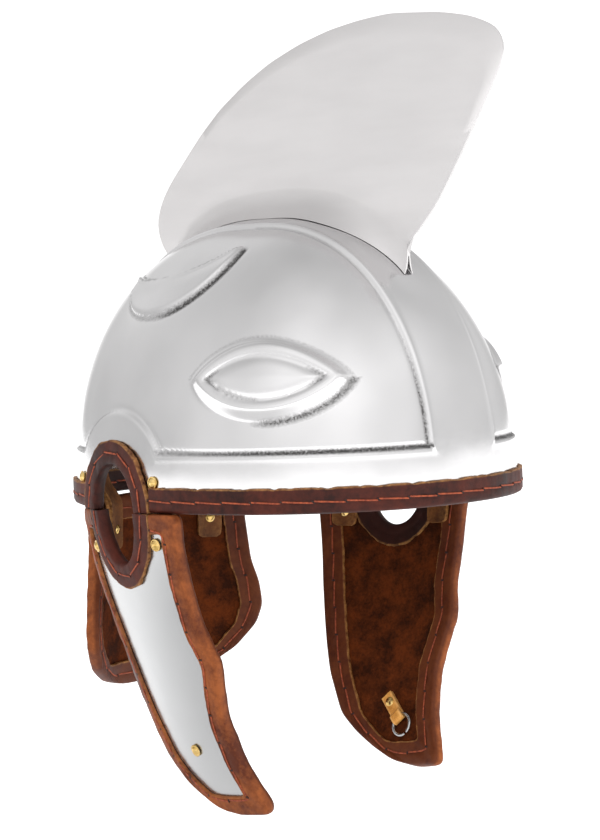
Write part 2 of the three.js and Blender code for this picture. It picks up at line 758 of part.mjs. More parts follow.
function makeGuardLayers({ name, place, table, length, width, reach, downs, earHole, studs }) {
  const outline = inset => sheetCutter(place, guardOutline(table, length, width, inset))
  const layer = (from, to) => sheetLayer(place, from, to, reach, downs)
  const earOutline = grow => ellipsePoints(0, 0, EAR_HALF_WIDTH + grow, EAR_DROP + grow, EAR_SIDES)
  const ear = grow => sheetCutter(place, earOutline(grow))
  const trim = (solid, grow) => earHole ? solid.subtract(ear(grow)) : solid
  // Everything stays under the rim, whatever way the guard hangs
  const under = inset => boxSolid([-BEYOND, -BEYOND, -BEYOND], [BEYOND, BEYOND, JOINT_Z - GAP - inset])
  const seat = PLATE_FACE
  const cut = (from, to, inset) => layer(from, to).intersect(outline(inset)).intersect(under(inset))

  const plate = trim(cut(PLATE_FACE, PLATE_FACE + PLATE, seat), seat)
  addPiece(`${name}_plate`, drilled(plate, studs), 'steel')
  const lining = trim(cut(LINING_FACE, LINING_FACE + LINING, seat), seat)
  addPiece(`${name}_lining`, drilled(lining, studs), 'suede')

  const whole = cut(0, GUARD_STACK, 0)
  const channel = trim(cut(FLAP, INNER_FLAP_FACE, FLAP), FLAP)
  const border = trim(whole.subtract(outline(BORDER)), EAR_EDGE + GAP).subtract(channel)
  addPiece(`${name}_border`, drilled(border, studs), 'edgeLeather')
  if (earHole) {
    const edging = whole.intersect(ear(EAR_EDGE)).subtract(ear(0)).subtract(channel)
    addPiece(`${name}_ear_edging`, edging, 'darkLeather')
  }
}

// Ring tab: a leather strip folded round the ring, riveted through the lower stud
const TAB_ALONG = -0.113
const TAB_DOWN = 0.785
const TAB_TURN = 40
const TAB_LENGTH = 14
const TAB_SLOT = 2.4
const TAB_END = 5

function tabFrame(place) {
  const along = TAB_ALONG * GUARD_WIDTH
  const down = TAB_DOWN * GUARD_LENGTH
  const turn = radians(TAB_TURN)
  // u runs along the tab away from the stud, v across it, and w in from the lining's face
  return (u, v, w) => {
    const s = along - u * sin(turn) + v * cos(turn)
    const d = down + u * cos(turn) + v * sin(turn)
    return place(s, d, LINING_FACE + LINING + FACET_GAP + w)
  }
}

function makeRingTab(name, place, stud) {
  const frame = tabFrame(place)
  const slotHalf = RING_WIRE + GAP
  const fold = slotHalf + TAB_LEATHER
  const flat = 2 * TAB_LEATHER
  const reach = TAB_LENGTH
  const slotStart = reach - fold - TAB_SLOT
  const side = new THREE.Shape()
  side.moveTo(-TAB_END, 0)
  side.lineTo(reach - fold, 0)
  side.absarc(reach - fold, fold, fold, -PI / 2, PI / 2)
  side.lineTo(slotStart - 0.5, 2 * fold)
  side.lineTo(slotStart - 0.5 - fold, flat)
  side.lineTo(-TAB_END, flat)
  const slot = new THREE.Path()
  slot.moveTo(slotStart, fold - slotHalf)
  slot.lineTo(slotStart, fold + slotHalf)
  slot.lineTo(reach - fold, fold + slotHalf)
  slot.absarc(reach - fold, fold, slotHalf, PI / 2, -PI / 2, true)
  side.holes.push(slot)
  const bar = new THREE.ExtrudeGeometry(side, { depth: TAB_WIDTH, curveSegments: 4, bevelEnabled: false })
  const tab = mapped(bar, (u, w, v) => frame(u, v - TAB_WIDTH / 2, w))
  addPiece(`${name}_ring_tab`, drilled(tab, [stud]), 'tan')

  const wire = []
  const around = 12
  for (let i = 0; i < around; i++) {
    const turn = 2 * PI * i / around
    const section = []
    for (let k = 0; k < 5; k++) {
      const spin = 2 * PI * k / 5
      const radius = RING_RADIUS + RING_WIRE * cos(spin)
      const u = slotStart + slotHalf + 0.1 + RING_RADIUS + radius * cos(turn)
      section.push(frame(u, radius * sin(turn), fold + RING_WIRE * sin(spin)))
    }
    wire.push(section)
  }
  addPiece(`${name}_ring`, ringSolid(wire), 'ringSteel')
}

// A closed tube through sections of points, the last joined to the first
function ringSolid(sections) {
  const sides = sections[0].length
  const positions = []
  const triangles = []
  sections.forEach((section, i) => {
    const next = (i + 1) % sections.length
    section.forEach((point, k) => {
      const beside = (k + 1) % sides
      positions.push(...point.toArray())
      triangles.push(i * sides + k, i * sides + beside, next * sides + beside)
      triangles.push(i * sides + k, next * sides + beside, next * sides + k)
    })
  })
  const geometry = new THREE.BufferGeometry()
  geometry.setAttribute('position', new THREE.Float32BufferAttribute(positions, 3))
  geometry.setIndex(triangles)
  return solidOf(geometry)
}

// How each cheek guard hangs
const CHEEKS = [
  { name: 'right', mirror: -1, out: 101.6, along: 28.4, yaw: 12.1, lean: 17.4, roll: 0.7 },
  { name: 'left', mirror: 1, out: 105.6, along: 24.2, yaw: 13.5, lean: 22.4, roll: 2.4 }
]

function makeCheekGuards() {
  const downs = [-SHEET_MARGIN, GUARD_BEND / 2, GUARD_BEND, GUARD_LENGTH + SHEET_MARGIN]
  const reach = GUARD_WIDTH * 0.58
  for (const cheek of CHEEKS) {
    const name = `${cheek.name}_cheek`
    const place = hangingSheet({ ...cheek, radius: GUARD_RADIUS, relax: GUARD_RELAX, bend: GUARD_BEND })
    const strapGrip = STUD_LIFT + GUARD_STACK + STRAP + 2 * FACET_GAP - PLATE_FACE
    const tabGrip = STUD_LIFT + PLATE + GAP + LINING + 2 * FACET_GAP + 2 * TAB_LEATHER
    const hingeStuds = HINGES.map(hinge => sheetStud(place, hinge.along, hinge.down, strapGrip))
    const lowStud = sheetStud(place, TAB_ALONG * GUARD_WIDTH, TAB_DOWN * GUARD_LENGTH, tabGrip)
    makeGuardLayers({
      name,
      place,
      table: CHEEK_TABLE,
      length: GUARD_LENGTH,
      width: GUARD_WIDTH,
      reach,
      downs,
      earHole: true,
      studs: [...hingeStuds, lowStud]
    })
    const guardRoom = sheetLayer(place, 0, GUARD_STACK + GAP, reach, downs)
    HINGES.forEach((hinge, i) => {
      const bearing = bearingAt(hinge.bowlY)
      const strap = strapSolid({ bearing, turn: 1, mirror: cheek.mirror, place, guardRoom, hinge })
      const through = bowlStuds.find(stud => stud.name === `bowl_stud_${cheek.name}_${hinge.end}`)
      addPiece(`${name}_strap_${hinge.end}`, drilled(strap, [hingeStuds[i], through]), 'tan')
      const stud = hingeStuds[i]
      addPiece(`${name}_stud_${hinge.end}`, studSolid(stud.seat, stud.inward, stud.grip), 'brass')
    })
    addPiece(`${name}_stud_low`, studSolid(lowStud.seat, lowStud.inward, lowStud.grip), 'brass')
    makeRingTab(name, place, lowStud)
  }
}

function makeNeckGuard() {
  const place = hangingSheet({
    out: 121, yaw: 0, lean: -3.5, relax: 0, bend: 1, roll: 0, radius: NECK_RADIUS, back: true
  })
  const reach = NECK_WIDTH * 0.54
  const downs = [-SHEET_MARGIN, NECK_LENGTH + SHEET_MARGIN]
  const guardRoom = sheetLayer(place, 0, GUARD_STACK + GAP, reach, downs)
  const grip = STUD_LIFT + GUARD_STACK + STRAP + 2 * FACET_GAP - PLATE_FACE
  const studs = NECK_HINGES.map(hinge => sheetStud(place, hinge.along, hinge.down, grip))
  makeGuardLayers({
    name: 'neck_guard',
    place,
    table: NECK_TABLE,
    length: NECK_LENGTH,
    width: NECK_WIDTH,
    reach,
    downs,
    earHole: false,
    studs
  })
  NECK_HINGES.forEach((hinge, i) => {
    const bearing = neckBearing(hinge)
    const strap = strapSolid({ bearing, turn: -1, mirror: 1, place, guardRoom, hinge })
    const through = bowlStuds.find(stud => stud.name === `bowl_stud_neck_${hinge.end}`)
    const stud = studs[i]
    addPiece(`neck_guard_strap_${hinge.end}`, drilled(strap, [stud, through]), 'tan')
    addPiece(`neck_guard_stud_${hinge.end}`, studSolid(stud.seat, stud.inward, stud.grip), 'brass')
  })
}

makeBowl()
makeRimEdging()
makeCrest()
makeCheekGuards()
makeNeckGuard()
for (const stud of bowlStuds) addPiece(stud.name, studSolid(stud.seat, stud.inward, stud.grip), 'brass')

export default helmet
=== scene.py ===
import math

import bpy
import numpy as np
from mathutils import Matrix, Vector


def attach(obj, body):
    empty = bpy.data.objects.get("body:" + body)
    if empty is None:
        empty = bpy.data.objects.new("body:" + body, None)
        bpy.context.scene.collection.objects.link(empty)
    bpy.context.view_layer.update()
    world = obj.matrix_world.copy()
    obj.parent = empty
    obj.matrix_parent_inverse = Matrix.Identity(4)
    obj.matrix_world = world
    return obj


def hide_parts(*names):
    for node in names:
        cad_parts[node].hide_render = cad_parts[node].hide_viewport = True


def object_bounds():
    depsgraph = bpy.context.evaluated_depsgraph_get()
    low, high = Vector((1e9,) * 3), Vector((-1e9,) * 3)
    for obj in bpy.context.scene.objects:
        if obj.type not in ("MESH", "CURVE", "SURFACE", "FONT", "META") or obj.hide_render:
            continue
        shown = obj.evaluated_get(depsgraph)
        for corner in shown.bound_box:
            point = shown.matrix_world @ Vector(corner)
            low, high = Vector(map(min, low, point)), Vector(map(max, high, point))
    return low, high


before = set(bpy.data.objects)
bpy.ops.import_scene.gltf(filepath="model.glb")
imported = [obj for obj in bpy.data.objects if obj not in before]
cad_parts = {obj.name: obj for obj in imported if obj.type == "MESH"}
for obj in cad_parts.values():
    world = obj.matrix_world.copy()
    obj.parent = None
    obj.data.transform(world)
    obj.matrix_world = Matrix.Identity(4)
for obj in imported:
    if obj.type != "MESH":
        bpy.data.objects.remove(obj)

cad_low, cad_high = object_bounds()

# Studio: a plain pale floor below the helmet, which is held up as on a head, large soft panels
# and a bright room round it. The camera stands where the photograph's did.
CAMERA_PLACE = (-0.8948, -0.9176, 0.0955)
CAMERA_TILT, CAMERA_ROLL, CAMERA_TURN = 86.894, 2.405, -44.532
LENS = 106.87
FLOOR_DROP = 0.06
FLOOR_SIZE = 60.0
ROOM_COLOUR = (1.0, 0.995, 0.995, 1)
FLOOR_COLOUR = (0.86, 0.86, 0.86, 1)
FLOOR_GLOW, DIM_GLOW = 0.72, 0.02
# A dimmer round patch of floor, out of the picture, keeps its mirror image in the steel grey
DIM_PATCH_MIDDLE, DIM_PATCH_CORE, DIM_PATCH_RADIUS = (-0.42, 0.04, 0.0), 0.2, 0.49
# The room is white just behind the helmet and behind the camera, and greyer to the sides. Its
# tone goes by how far a way turns from the view, 0 for ahead and 1 for back to the camera.
ROOM_BRIGHT_WAY = (-0.35, -0.355, 0.0)
ROOM_STRENGTH, ROOM_UNEVEN, ROOM_PATCHES = 1.3, 0.5, 1.6
ROOM_TURNS = [(0.0, 1.0), (0.014, 0.95), (0.05, 0.5), (0.4, 0.53), (0.75, 0.72), (1.0, 0.96)]
ROOM_HEIGHTS = [(0.0, 0.95), (0.2, 1.0), (0.55, 1.1), (1.0, 1.0)]
PANELS = [
    {"name": "panel_front_left", "place": (-2.0, -1.2, 1.3), "size": 1.6, "watts": 15},
    {"name": "panel_front_right", "place": (0.5, -2.2, 0.7), "size": 1.6, "watts": 10},
    {"name": "panel_left", "place": (-2.2, 1.4, 0.5), "size": 2.2, "watts": 7},
]
camera = bpy.data.objects.new("camera", bpy.data.cameras.new("camera"))
bpy.context.scene.collection.objects.link(camera)
camera.location = CAMERA_PLACE
camera.rotation_euler = [math.radians(angle) for angle in (CAMERA_TILT, CAMERA_ROLL, CAMERA_TURN)]
camera.data.lens = LENS
camera.data.sensor_width = 36
bpy.context.scene.camera = camera
bpy.context.scene.view_settings.view_transform = "Standard"

for panel in PANELS:
    light = bpy.data.lights.new(panel["name"], "AREA")
    light.shape = "SQUARE"
    light.size = panel["size"]
    light.energy = panel["watts"]
    holder = bpy.data.objects.new(panel["name"], light)
    bpy.context.scene.collection.objects.link(holder)
    holder.location = panel["place"]
    holder.rotation_euler = (-holder.location).to_track_quat("-Z", "Y").to_euler()
    holder.visible_glossy = False


def node_adder(tree):
    """A function that adds a node to a tree and fills or joins its sockets."""
    def add(kind, settings=None, **sockets):
        node = tree.nodes.new(kind)
        for key, value in (settings or {}).items():
            setattr(node, key, value)
        for key, value in sockets.items():
            numbered = key[0] == "i" and key[1:].isdigit()
            socket = node.inputs[int(key[1:]) if numbered else key.replace("_", " ")]
            if isinstance(value, bpy.types.NodeSocket):
                tree.links.new(value, socket)
            else:
                socket.default_value = value
        return node

    return add


def reckoned(add, operation, *values, clamp=False):
    """The result of a sum on one to three values or sockets."""
    sockets = {f"i{index}": value for index, value in enumerate(values)}
    return add("ShaderNodeMath", {"operation": operation, "use_clamp": clamp}, **sockets).outputs[0]


def grey(value):
    return (value, value, value)


def ramp(add, factor, stops):
    node = add("ShaderNodeValToRGB", Fac=factor)
    while len(node.color_ramp.elements) < len(stops):
        node.color_ramp.elements.new(0.5)
    for element, (position, colour) in zip(node.color_ramp.elements, stops):
        element.position = position
        element.color = (*colour, 1)
    return node.outputs["Color"]


room = bpy.data.worlds.new("room")
bpy.context.scene.world = room
room.use_nodes = True
add = node_adder(room.node_tree)
way = add("ShaderNodeTexCoord").outputs["Generated"]
along_view = add("ShaderNodeVectorMath", {"operation": "DOT_PRODUCT"}, i0=way, i1=ROOM_BRIGHT_WAY)
turned = reckoned(add, "ADD", along_view.outputs["Value"], 0.5)
by_turn = ramp(add, turned, [(position, grey(tone)) for position, tone in ROOM_TURNS])
unevenness = add("ShaderNodeTexNoise", Vector=way, Scale=ROOM_PATCHES, Detail=1.0).outputs["Fac"]
uneven_tone = reckoned(add, "MULTIPLY_ADD", unevenness, ROOM_UNEVEN, -ROOM_UNEVEN / 2)
brightness = reckoned(add, "MULTIPLY_ADD", by_turn, ROOM_STRENGTH, uneven_tone)
height = add("ShaderNodeSeparateXYZ", Vector=way).outputs["Z"]
by_height = ramp(add, height, [(position, grey(tone)) for position, tone in ROOM_HEIGHTS])
strength = reckoned(add, "MULTIPLY", brightness, by_height)
background = room.node_tree.nodes["Background"]
background.inputs["Color"].default_value = ROOM_COLOUR
room.node_tree.links.new(strength, background.inputs["Strength"])

bpy.ops.object.select_all(action="DESELECT")
bpy.ops.mesh.primitive_plane_add(size=FLOOR_SIZE, location=(0, 0, cad_low.z - FLOOR_DROP))
floor = bpy.context.object
floor.name = "floor"
floor_paint = bpy.data.materials.new("pale_floor")
floor_paint.use_nodes = True
floor_shader = floor_paint.node_tree.nodes["Principled BSDF"]
floor_shader.inputs["Base Color"].default_value = FLOOR_COLOUR
floor_shader.inputs["Roughness"].default_value = 0.8
floor_shader.inputs["Emission Color"].default_value = (1, 1, 1, 1)
add = node_adder(floor_paint.node_tree)
place = add("ShaderNodeTexCoord").outputs["Object"]
away = add("ShaderNodeVectorMath", {"operation": "DISTANCE"}, i0=place, i1=DIM_PATCH_MIDDLE)
glow = add("ShaderNodeMapRange", Value=away.outputs["Value"], From_Min=DIM_PATCH_CORE,
           From_Max=DIM_PATCH_RADIUS, To_Min=DIM_GLOW, To_Max=FLOOR_GLOW).outputs["Result"]
floor_paint.node_tree.links.new(glow, floor_shader.inputs["Emission Strength"])
floor.data.materials.append(floor_paint)

# Bowl: one shell raised from steel sheet. The ridge band, the rim band and the arches over the
# ears stand proud of the side panels, and an eye and a crescent are embossed on each side.
# Its creases are darkened with painted shade and polishing residue. Sizes are in millimetres.
MM = 0.001
BOWL_HALF_WIDTH, BOWL_FRONT, BOWL_BACK, BOWL_HEIGHT = 98.4, 117.8, 123.3, 130.0
PLAN_POWER, SIDE_POWER, FRONT_POWER, BACK_POWER = 2.14, 1.87, 2.2, 2.42
BOWL_WALL = 1.5
BOWL_SEGMENTS, BOWL_RINGS = 310, 240
EDGE_LINES = (-2.8, -2.1, -1.5, -1.0, -0.5, 0.0, 0.45, 0.9, 1.35, 1.9, 2.5, 3.2, 4.0)
STEEL_EDGE, STEEL_EDGE_STEPS = -10.4, 8
RIDGE_HALF_WIDTH, RIM_BAND_TOP, BAND_RISE, BAND_RAMP = 22.4, 15.3, 1.0, 1.3
EAR_Y, EAR_Z, EAR_HALF_WIDTH, EAR_RISE, EAR_EDGE = 31.0, -12.7, 17.5, 22.5, 12.8
EAR_BAND, EDGE_LEATHER, GAP = 13.0, 2.0, 0.3
EYE = {"bearing": 36.5, "z": 51.0, "half_span": 25.0, "half_height": 20.5, "rise": 3.4}
# Colour of the painted shade and polishing residue in the bowl's creases
RESIDUE_AND_SHADE_COLOUR = (0.035, 0.032, 0.03)
MOON = {"aim": (42.4, 24.1, 102.6), "radius": 41.4, "bite": 50.3, "bite_at": (4.6, 37.6), "rise": 2.3}


def points_of(piece):
    flat = np.zeros(len(piece.data.vertices) * 3, np.float32)
    piece.data.vertices.foreach_get("co", flat)
    return flat.reshape(-1, 3).astype(float)


def set_points(piece, points):
    piece.data.vertices.foreach_set("co", points.astype(np.float32).ravel())
    piece.data.update()


def set_attribute(piece, name, values):
    layer = piece.data.attributes.new(name, "FLOAT", "POINT")
    layer.data.foreach_set("value", values.astype(np.float32))


def apply_modifier(piece, kind, **settings):
    bpy.context.view_layer.objects.active = piece
    modifier = piece.modifiers.new(kind.lower(), kind)
    for key, value in settings.items():
        setattr(modifier, key, value)
    bpy.ops.object.modifier_apply(modifier=modifier.name)


def smooth_step(value):
    value = np.clip(value, 0, 1)
    return value * value * (3 - 2 * value)


def bell(distance, width):
    return np.exp(-(distance / width) ** 2)


def dome_share(points, grow):
    x, y, z = np.abs(points[..., 0]), points[..., 1], np.abs(points[..., 2])
    across = (x / (BOWL_HALF_WIDTH + grow)) ** PLAN_POWER
    along = (np.abs(y) / (np.where(y < 0, BOWL_FRONT, BOWL_BACK) + grow)) ** PLAN_POWER
    end_power = np.where(y < 0, FRONT_POWER, BACK_POWER)
    power = SIDE_POWER + (end_power - SIDE_POWER) * along / np.maximum(across + along, 1e-9)
    plan = (across + along) ** (1 / PLAN_POWER)
    return (plan ** power + (z / (BOWL_HEIGHT + grow)) ** power) ** (1 / power)


def on_dome(points, grow=0.0):
    return points / dome_share(points, grow)[..., None]


def ear_reach(y, z, radius_y, radius_z):
    """How far a point lies outside an ellipse round the ear opening, about in millimetres."""
    share = np.hypot((y - EAR_Y) / radius_y, (z - EAR_Z) / radius_z)
    return (share - 1) * (radius_y + radius_z) / 2


def eye_height(points):
    bearing = np.degrees(np.arctan2(-points[:, 1], np.abs(points[:, 0])))
    u = np.abs(bearing - EYE["bearing"]) / EYE["half_span"]
    v = np.abs(points[:, 2] - EYE["z"]) / EYE["half_height"]
    outline = np.sqrt(u ** 2 + v ** 1.33)
    almond = np.sqrt((u / 0.7) ** 2 + (v / 0.5) ** 1.03)
    past_almond = np.maximum(almond - 1, 0)
    to_outline = np.maximum(1 - outline, 0)
    share = past_almond / np.maximum(past_almond + to_outline, 1e-6)
    groove, ring_at = 0.5, 0.46
    inside_ring = groove + (1 - groove) * (1 - (1 - np.clip(share / ring_at, 0, 1)) ** 2)
    outside_ring = smooth_step((1 - share) / (1 - ring_at))
    slope = np.where(share < ring_at, inside_ring, outside_ring)
    shoulder = 1 - (1 - np.clip((1 - almond) / 0.34, 0, 1)) ** 2
    dome = groove + 0.36 * shoulder + 0.26 * (1 - np.clip(almond, 0, 1) ** 2)
    height = np.where(almond < 1, dome, np.where(outline < 1, slope, 0)) * EYE["rise"]
    seen = (np.abs(bearing - EYE["bearing"]) < 90) & (points[:, 1] < 20)
    low = points[:, 2] < EYE["z"]
    behind = bearing < EYE["bearing"]
    # Painted shade with polishing residue round the eye: in its creases, under its lower edge and lightly
    # along its brow
    crease = bell(share - 0.03, 0.07) * (outline < 1) * smooth_step((almond - 0.84) / 0.12)
    crease *= np.maximum(smooth_step((u - 0.4) / 0.25), 0.55 * low * behind)
    under = bell(outline - 1.0, 0.07) * low * smooth_step((bearing - EYE["bearing"] + 6) / 9)
    brow = bell(outline - 1.0, 0.04) * ~low * 0.3
    return height * seen, (crease * 0.75 + under * 0.8 + brow) * seen


def moon_height(points):
    centre = on_dome(np.array([MOON["aim"]]))[0]
    outward = centre / np.linalg.norm(centre)
    along = np.array([0.0, 1.0, 0.0])
    along = along - along @ outward * outward
    along /= np.linalg.norm(along)
    up = np.cross(along, outward)
    up *= np.sign(up[2])
    side = points.copy()
    side[:, 0] = np.abs(side[:, 0])
    reach = side @ outward
    flat = side * (centre @ outward / np.maximum(reach, 1e-3))[:, None] - centre
    u, v = flat @ along, flat @ up
    inside = MOON["radius"] - np.hypot(u, v)
    past_bite = np.hypot(u - MOON["bite_at"][0], v - MOON["bite_at"][1]) - MOON["bite"]
    height = smooth_step(inside / 3.2) * smooth_step(past_bite / 2.6)
    plateau = 0.55 + 0.45 * smooth_step(past_bite / 14) + 0.3 * bell(past_bite - 2.2, 1.5)
    height = height * plateau * MOON["rise"] - 0.35 * bell(inside + 1.2, 1.6) * (past_bite > 0)
    seen = (reach > 20) * smooth_step((7 - v) / 4)
    front = smooth_step((6 - u) / 26)
    # Painted shade with polishing residue along the crescent's edges, darker towards the front
    shade_and_stain = bell(inside + 0.4, 1.9) * (past_bite > -1) * (0.4 + 0.75 * front)
    shade_and_stain += 0.25 * bell(past_bite, 1.2) * (inside > 0)
    return height * seen, shade_and_stain * seen


def emboss(points):
    """Height of the worked steel over its panels, and the painted shade and polishing residue in its
    creases.
    """
    x, y, z = np.abs(points[:, 0]), points[:, 1], points[:, 2]
    past_ridge = x - RIDGE_HALF_WIDTH
    past_rim = z - RIM_BAND_TOP
    past_ear = ear_reach(y, z, EAR_HALF_WIDTH + EAR_EDGE + EAR_BAND, EAR_RISE + EAR_EDGE + EAR_BAND)
    past_band = np.minimum(np.minimum(past_ridge, past_rim), past_ear)
    height = BAND_RISE * (1 - smooth_step(past_band / BAND_RAMP))
    on_ridge = past_ridge < np.minimum(past_rim, past_ear)
    height += 0.65 * bell(past_band + 0.9, 1.1) * on_ridge
    height += 0.15 * bell(past_band + 1.2, 1.6) * ~on_ridge
    height -= 0.4 * bell(past_band - BAND_RAMP - 0.5, 1.2)
    # The dark lines along the bands' edges are painted shade with polishing residue, stronger towards the
    # front and, by the ridge, lower down
    front = smooth_step((-20 - y) / 60)
    rim_line = bell(past_rim - 1.2, 1.5) * (past_ridge > -1) * (past_ear > -1) * (0.62 + 0.4 * front)
    low = smooth_step((75 - z) / 45)
    ridge_line = bell(past_ridge - 1.5, 1.0) * (past_rim > 0) * (0.3 + 0.6 * low) * (y < 0)
    eye, eye_residue_and_shade = eye_height(points)
    moon, moon_residue_and_shade = moon_height(points)
    panel = past_band > 0
    height += (eye + moon) * panel
    residue = np.maximum(np.maximum(rim_line, ridge_line), np.maximum(eye_residue_and_shade, moon_residue_and_shade))
    wobble = np.sin(x * 0.11 + z * 0.05) * np.sin(y * 0.09 - z * 0.04) * 0.12
    return height + wobble, residue


def new_grid(name, across, along):
    """A flat grid one unit square: its points, from 0 to 1 each way, are then laid on a form."""
    bpy.ops.object.select_all(action="DESELECT")
    bpy.ops.mesh.primitive_grid_add(x_subdivisions=across, y_subdivisions=along, size=1)
    piece = bpy.context.object
    piece.name = name
    return piece, points_of(piece)[:, :2] + 0.5


# The sheet is laid over the bowl in lines along the ridge, which lie closer at the ridge band's edge
lines = -np.cos(np.linspace(0, math.pi, BOWL_RINGS + 1)) * BOWL_HALF_WIDTH
edge_lines = RIDGE_HALF_WIDTH + np.array(EDGE_LINES)
apart = (np.abs(lines) < edge_lines[0] - 0.5) | (np.abs(lines) > edge_lines[-1] + 0.5)
lines = np.sort(np.concatenate([lines[apart], edge_lines, -edge_lines]))
bowl, spread = new_grid("bowl_shell", len(lines) - 1, BOWL_SEGMENTS)
across = lines[np.rint(spread[:, 0] * (len(lines) - 1)).astype(int)]
# Closer steps near the rim than over the crown
turn = (spread[:, 1] - 0.4 * np.sin(spread[:, 1] * 2 * math.pi) / (2 * math.pi)) * math.pi
reach = np.where(turn > math.pi / 2, BOWL_FRONT, BOWL_BACK)
# How far out each point lies is found by halving, so that it keeps to its line
low_share, high_share = np.zeros(len(turn)), np.full(len(turn), 1.02)
for _ in range(30):
    share = (low_share + high_share) / 2
    trial = np.stack([across, share * np.cos(turn) * reach, share * np.sin(turn) * BOWL_HEIGHT], axis=1)
    inside = dome_share(trial, 0) < 1
    low_share = np.where(inside, share, low_share)
    high_share = np.where(inside, high_share, share)
trial[:, 2] = np.maximum(trial[:, 2], 0)
height, residue = emboss(trial)
set_points(bowl, on_dome(trial, height) * MM)
# Painted shade and polishing residue in the creases, kept for the steel's colour
set_attribute(bowl, "residue", residue)


def edit_open_edges(mode):
    bpy.ops.object.mode_set(mode="EDIT")
    bpy.ops.mesh.select_mode(type=mode)
    bpy.ops.mesh.select_all(action="DESELECT")
    bpy.ops.mesh.select_non_manifold(
        use_wire=False, use_multi_face=False, use_non_contiguous=False, use_verts=False)


def cut_away(piece, inside):
    """Deletes the faces whose centres lie inside, and tells which points then lie on an open edge."""
    centres = np.zeros(len(piece.data.polygons) * 3, np.float32)
    piece.data.polygons.foreach_get("center", centres)
    piece.data.polygons.foreach_set("select", inside(centres.reshape(-1, 3) / MM))
    piece.data.vertices.foreach_set("select", np.zeros(len(piece.data.vertices), bool))
    piece.data.edges.foreach_set("select", np.zeros(len(piece.data.edges), bool))
    bpy.ops.object.mode_set(mode="EDIT")
    bpy.ops.mesh.select_mode(type="FACE")
    bpy.ops.mesh.delete(type="FACE")
    edit_open_edges("VERT")
    bpy.ops.object.mode_set(mode="OBJECT")
    open_edge = np.zeros(len(piece.data.vertices), bool)
    piece.data.vertices.foreach_get("select", open_edge)
    return open_edge


# The rim goes straight down into its leather edging, and is notched for the ears
bpy.ops.object.mode_set(mode="EDIT")
bpy.ops.mesh.select_all(action="SELECT")
bpy.ops.mesh.remove_doubles(threshold=1e-6)
bpy.ops.mesh.normals_make_consistent(inside=False)
edit_open_edges("EDGE")
edge_step = (0, 0, STEEL_EDGE * MM / STEEL_EDGE_STEPS)
for _ in range(STEEL_EDGE_STEPS):
    bpy.ops.mesh.extrude_region_move(TRANSFORM_OT_translate={"value": edge_step})
bpy.ops.object.mode_set(mode="OBJECT")
notch_y, notch_z = EAR_HALF_WIDTH + EDGE_LEATHER + GAP, EAR_RISE + EDGE_LEATHER + GAP


def in_ear_notch(spots):
    return (ear_reach(spots[:, 1], spots[:, 2], notch_y, notch_z) < 0) & (np.abs(spots[:, 0]) > 50)


edge_points = cut_away(bowl, in_ear_notch)
spots = points_of(bowl) / MM
near_ear = edge_points & (np.abs(ear_reach(spots[:, 1], spots[:, 2], notch_y, notch_z)) < 4)
share = np.hypot((spots[:, 1] - EAR_Y) / notch_y, (spots[:, 2] - EAR_Z) / notch_z)[near_ear]
spots[near_ear, 1] = EAR_Y + (spots[near_ear, 1] - EAR_Y) / share
spots[near_ear, 2] = np.maximum(EAR_Z + (spots[near_ear, 2] - EAR_Z) / share, STEEL_EDGE)
set_points(bowl, spots * MM)
outer_count = len(spots)
apply_modifier(bowl, "SOLIDIFY", thickness=BOWL_WALL * MM, offset=-1)
# The plain inside needs far fewer faces than the worked outside
bpy.ops.object.mode_set(mode="EDIT")
bpy.ops.mesh.select_all(action="DESELECT")
bpy.ops.object.mode_set(mode="OBJECT")
inner = np.arange(len(bowl.data.vertices)) >= outer_count
bowl.data.vertices.foreach_set("select", inner)
bpy.ops.object.mode_set(mode="EDIT")
bpy.ops.mesh.select_mode(type="VERT")
bpy.ops.mesh.decimate(ratio=0.1)
bpy.ops.mesh.select_all(action="DESELECT")
bpy.ops.object.mode_set(mode="OBJECT")
bpy.ops.object.shade_smooth_by_angle(angle=math.radians(50))


def make_material(name, base, roughness, metallic=0.0):
    """A material with its shader, and a function that adds a node and joins its sockets."""
    material = bpy.data.materials.new(name)
    material.use_nodes = True
    tree = material.node_tree
    shader = tree.nodes["Principled BSDF"]
    shader.inputs["Base Color"].default_value = (*base, 1)
    shader.inputs["Roughness"].default_value = roughness
    shader.inputs["Metallic"].default_value = metallic
    return material, shader, node_adder(tree), tree.links.new


def object_noise(add, scale, detail=4.0, stretch=(1, 1, 1), roughness=0.55):
    place = add("ShaderNodeTexCoord").outputs["Object"]
    mapping = add("ShaderNodeMapping", Vector=place, Scale=tuple(scale * share for share in stretch))
    return add("ShaderNodeTexNoise", Vector=mapping.outputs["Vector"], Scale=1.0, Detail=detail,
               Roughness=roughness).outputs["Fac"]


def attribute(add, name):
    return add("ShaderNodeAttribute", {"attribute_name": name}).outputs["Fac"]


def mixed(add, factor, first, second):
    """One colour laid over another by a factor."""
    mix = add("ShaderNodeMix", {"data_type": "RGBA"})
    links = mix.id_data.links
    links.new(factor, mix.inputs["Factor"])
    links.new(first, mix.inputs["A"])
    mix.inputs["B"].default_value = (*second, 1)
    return mix.outputs["Result"]


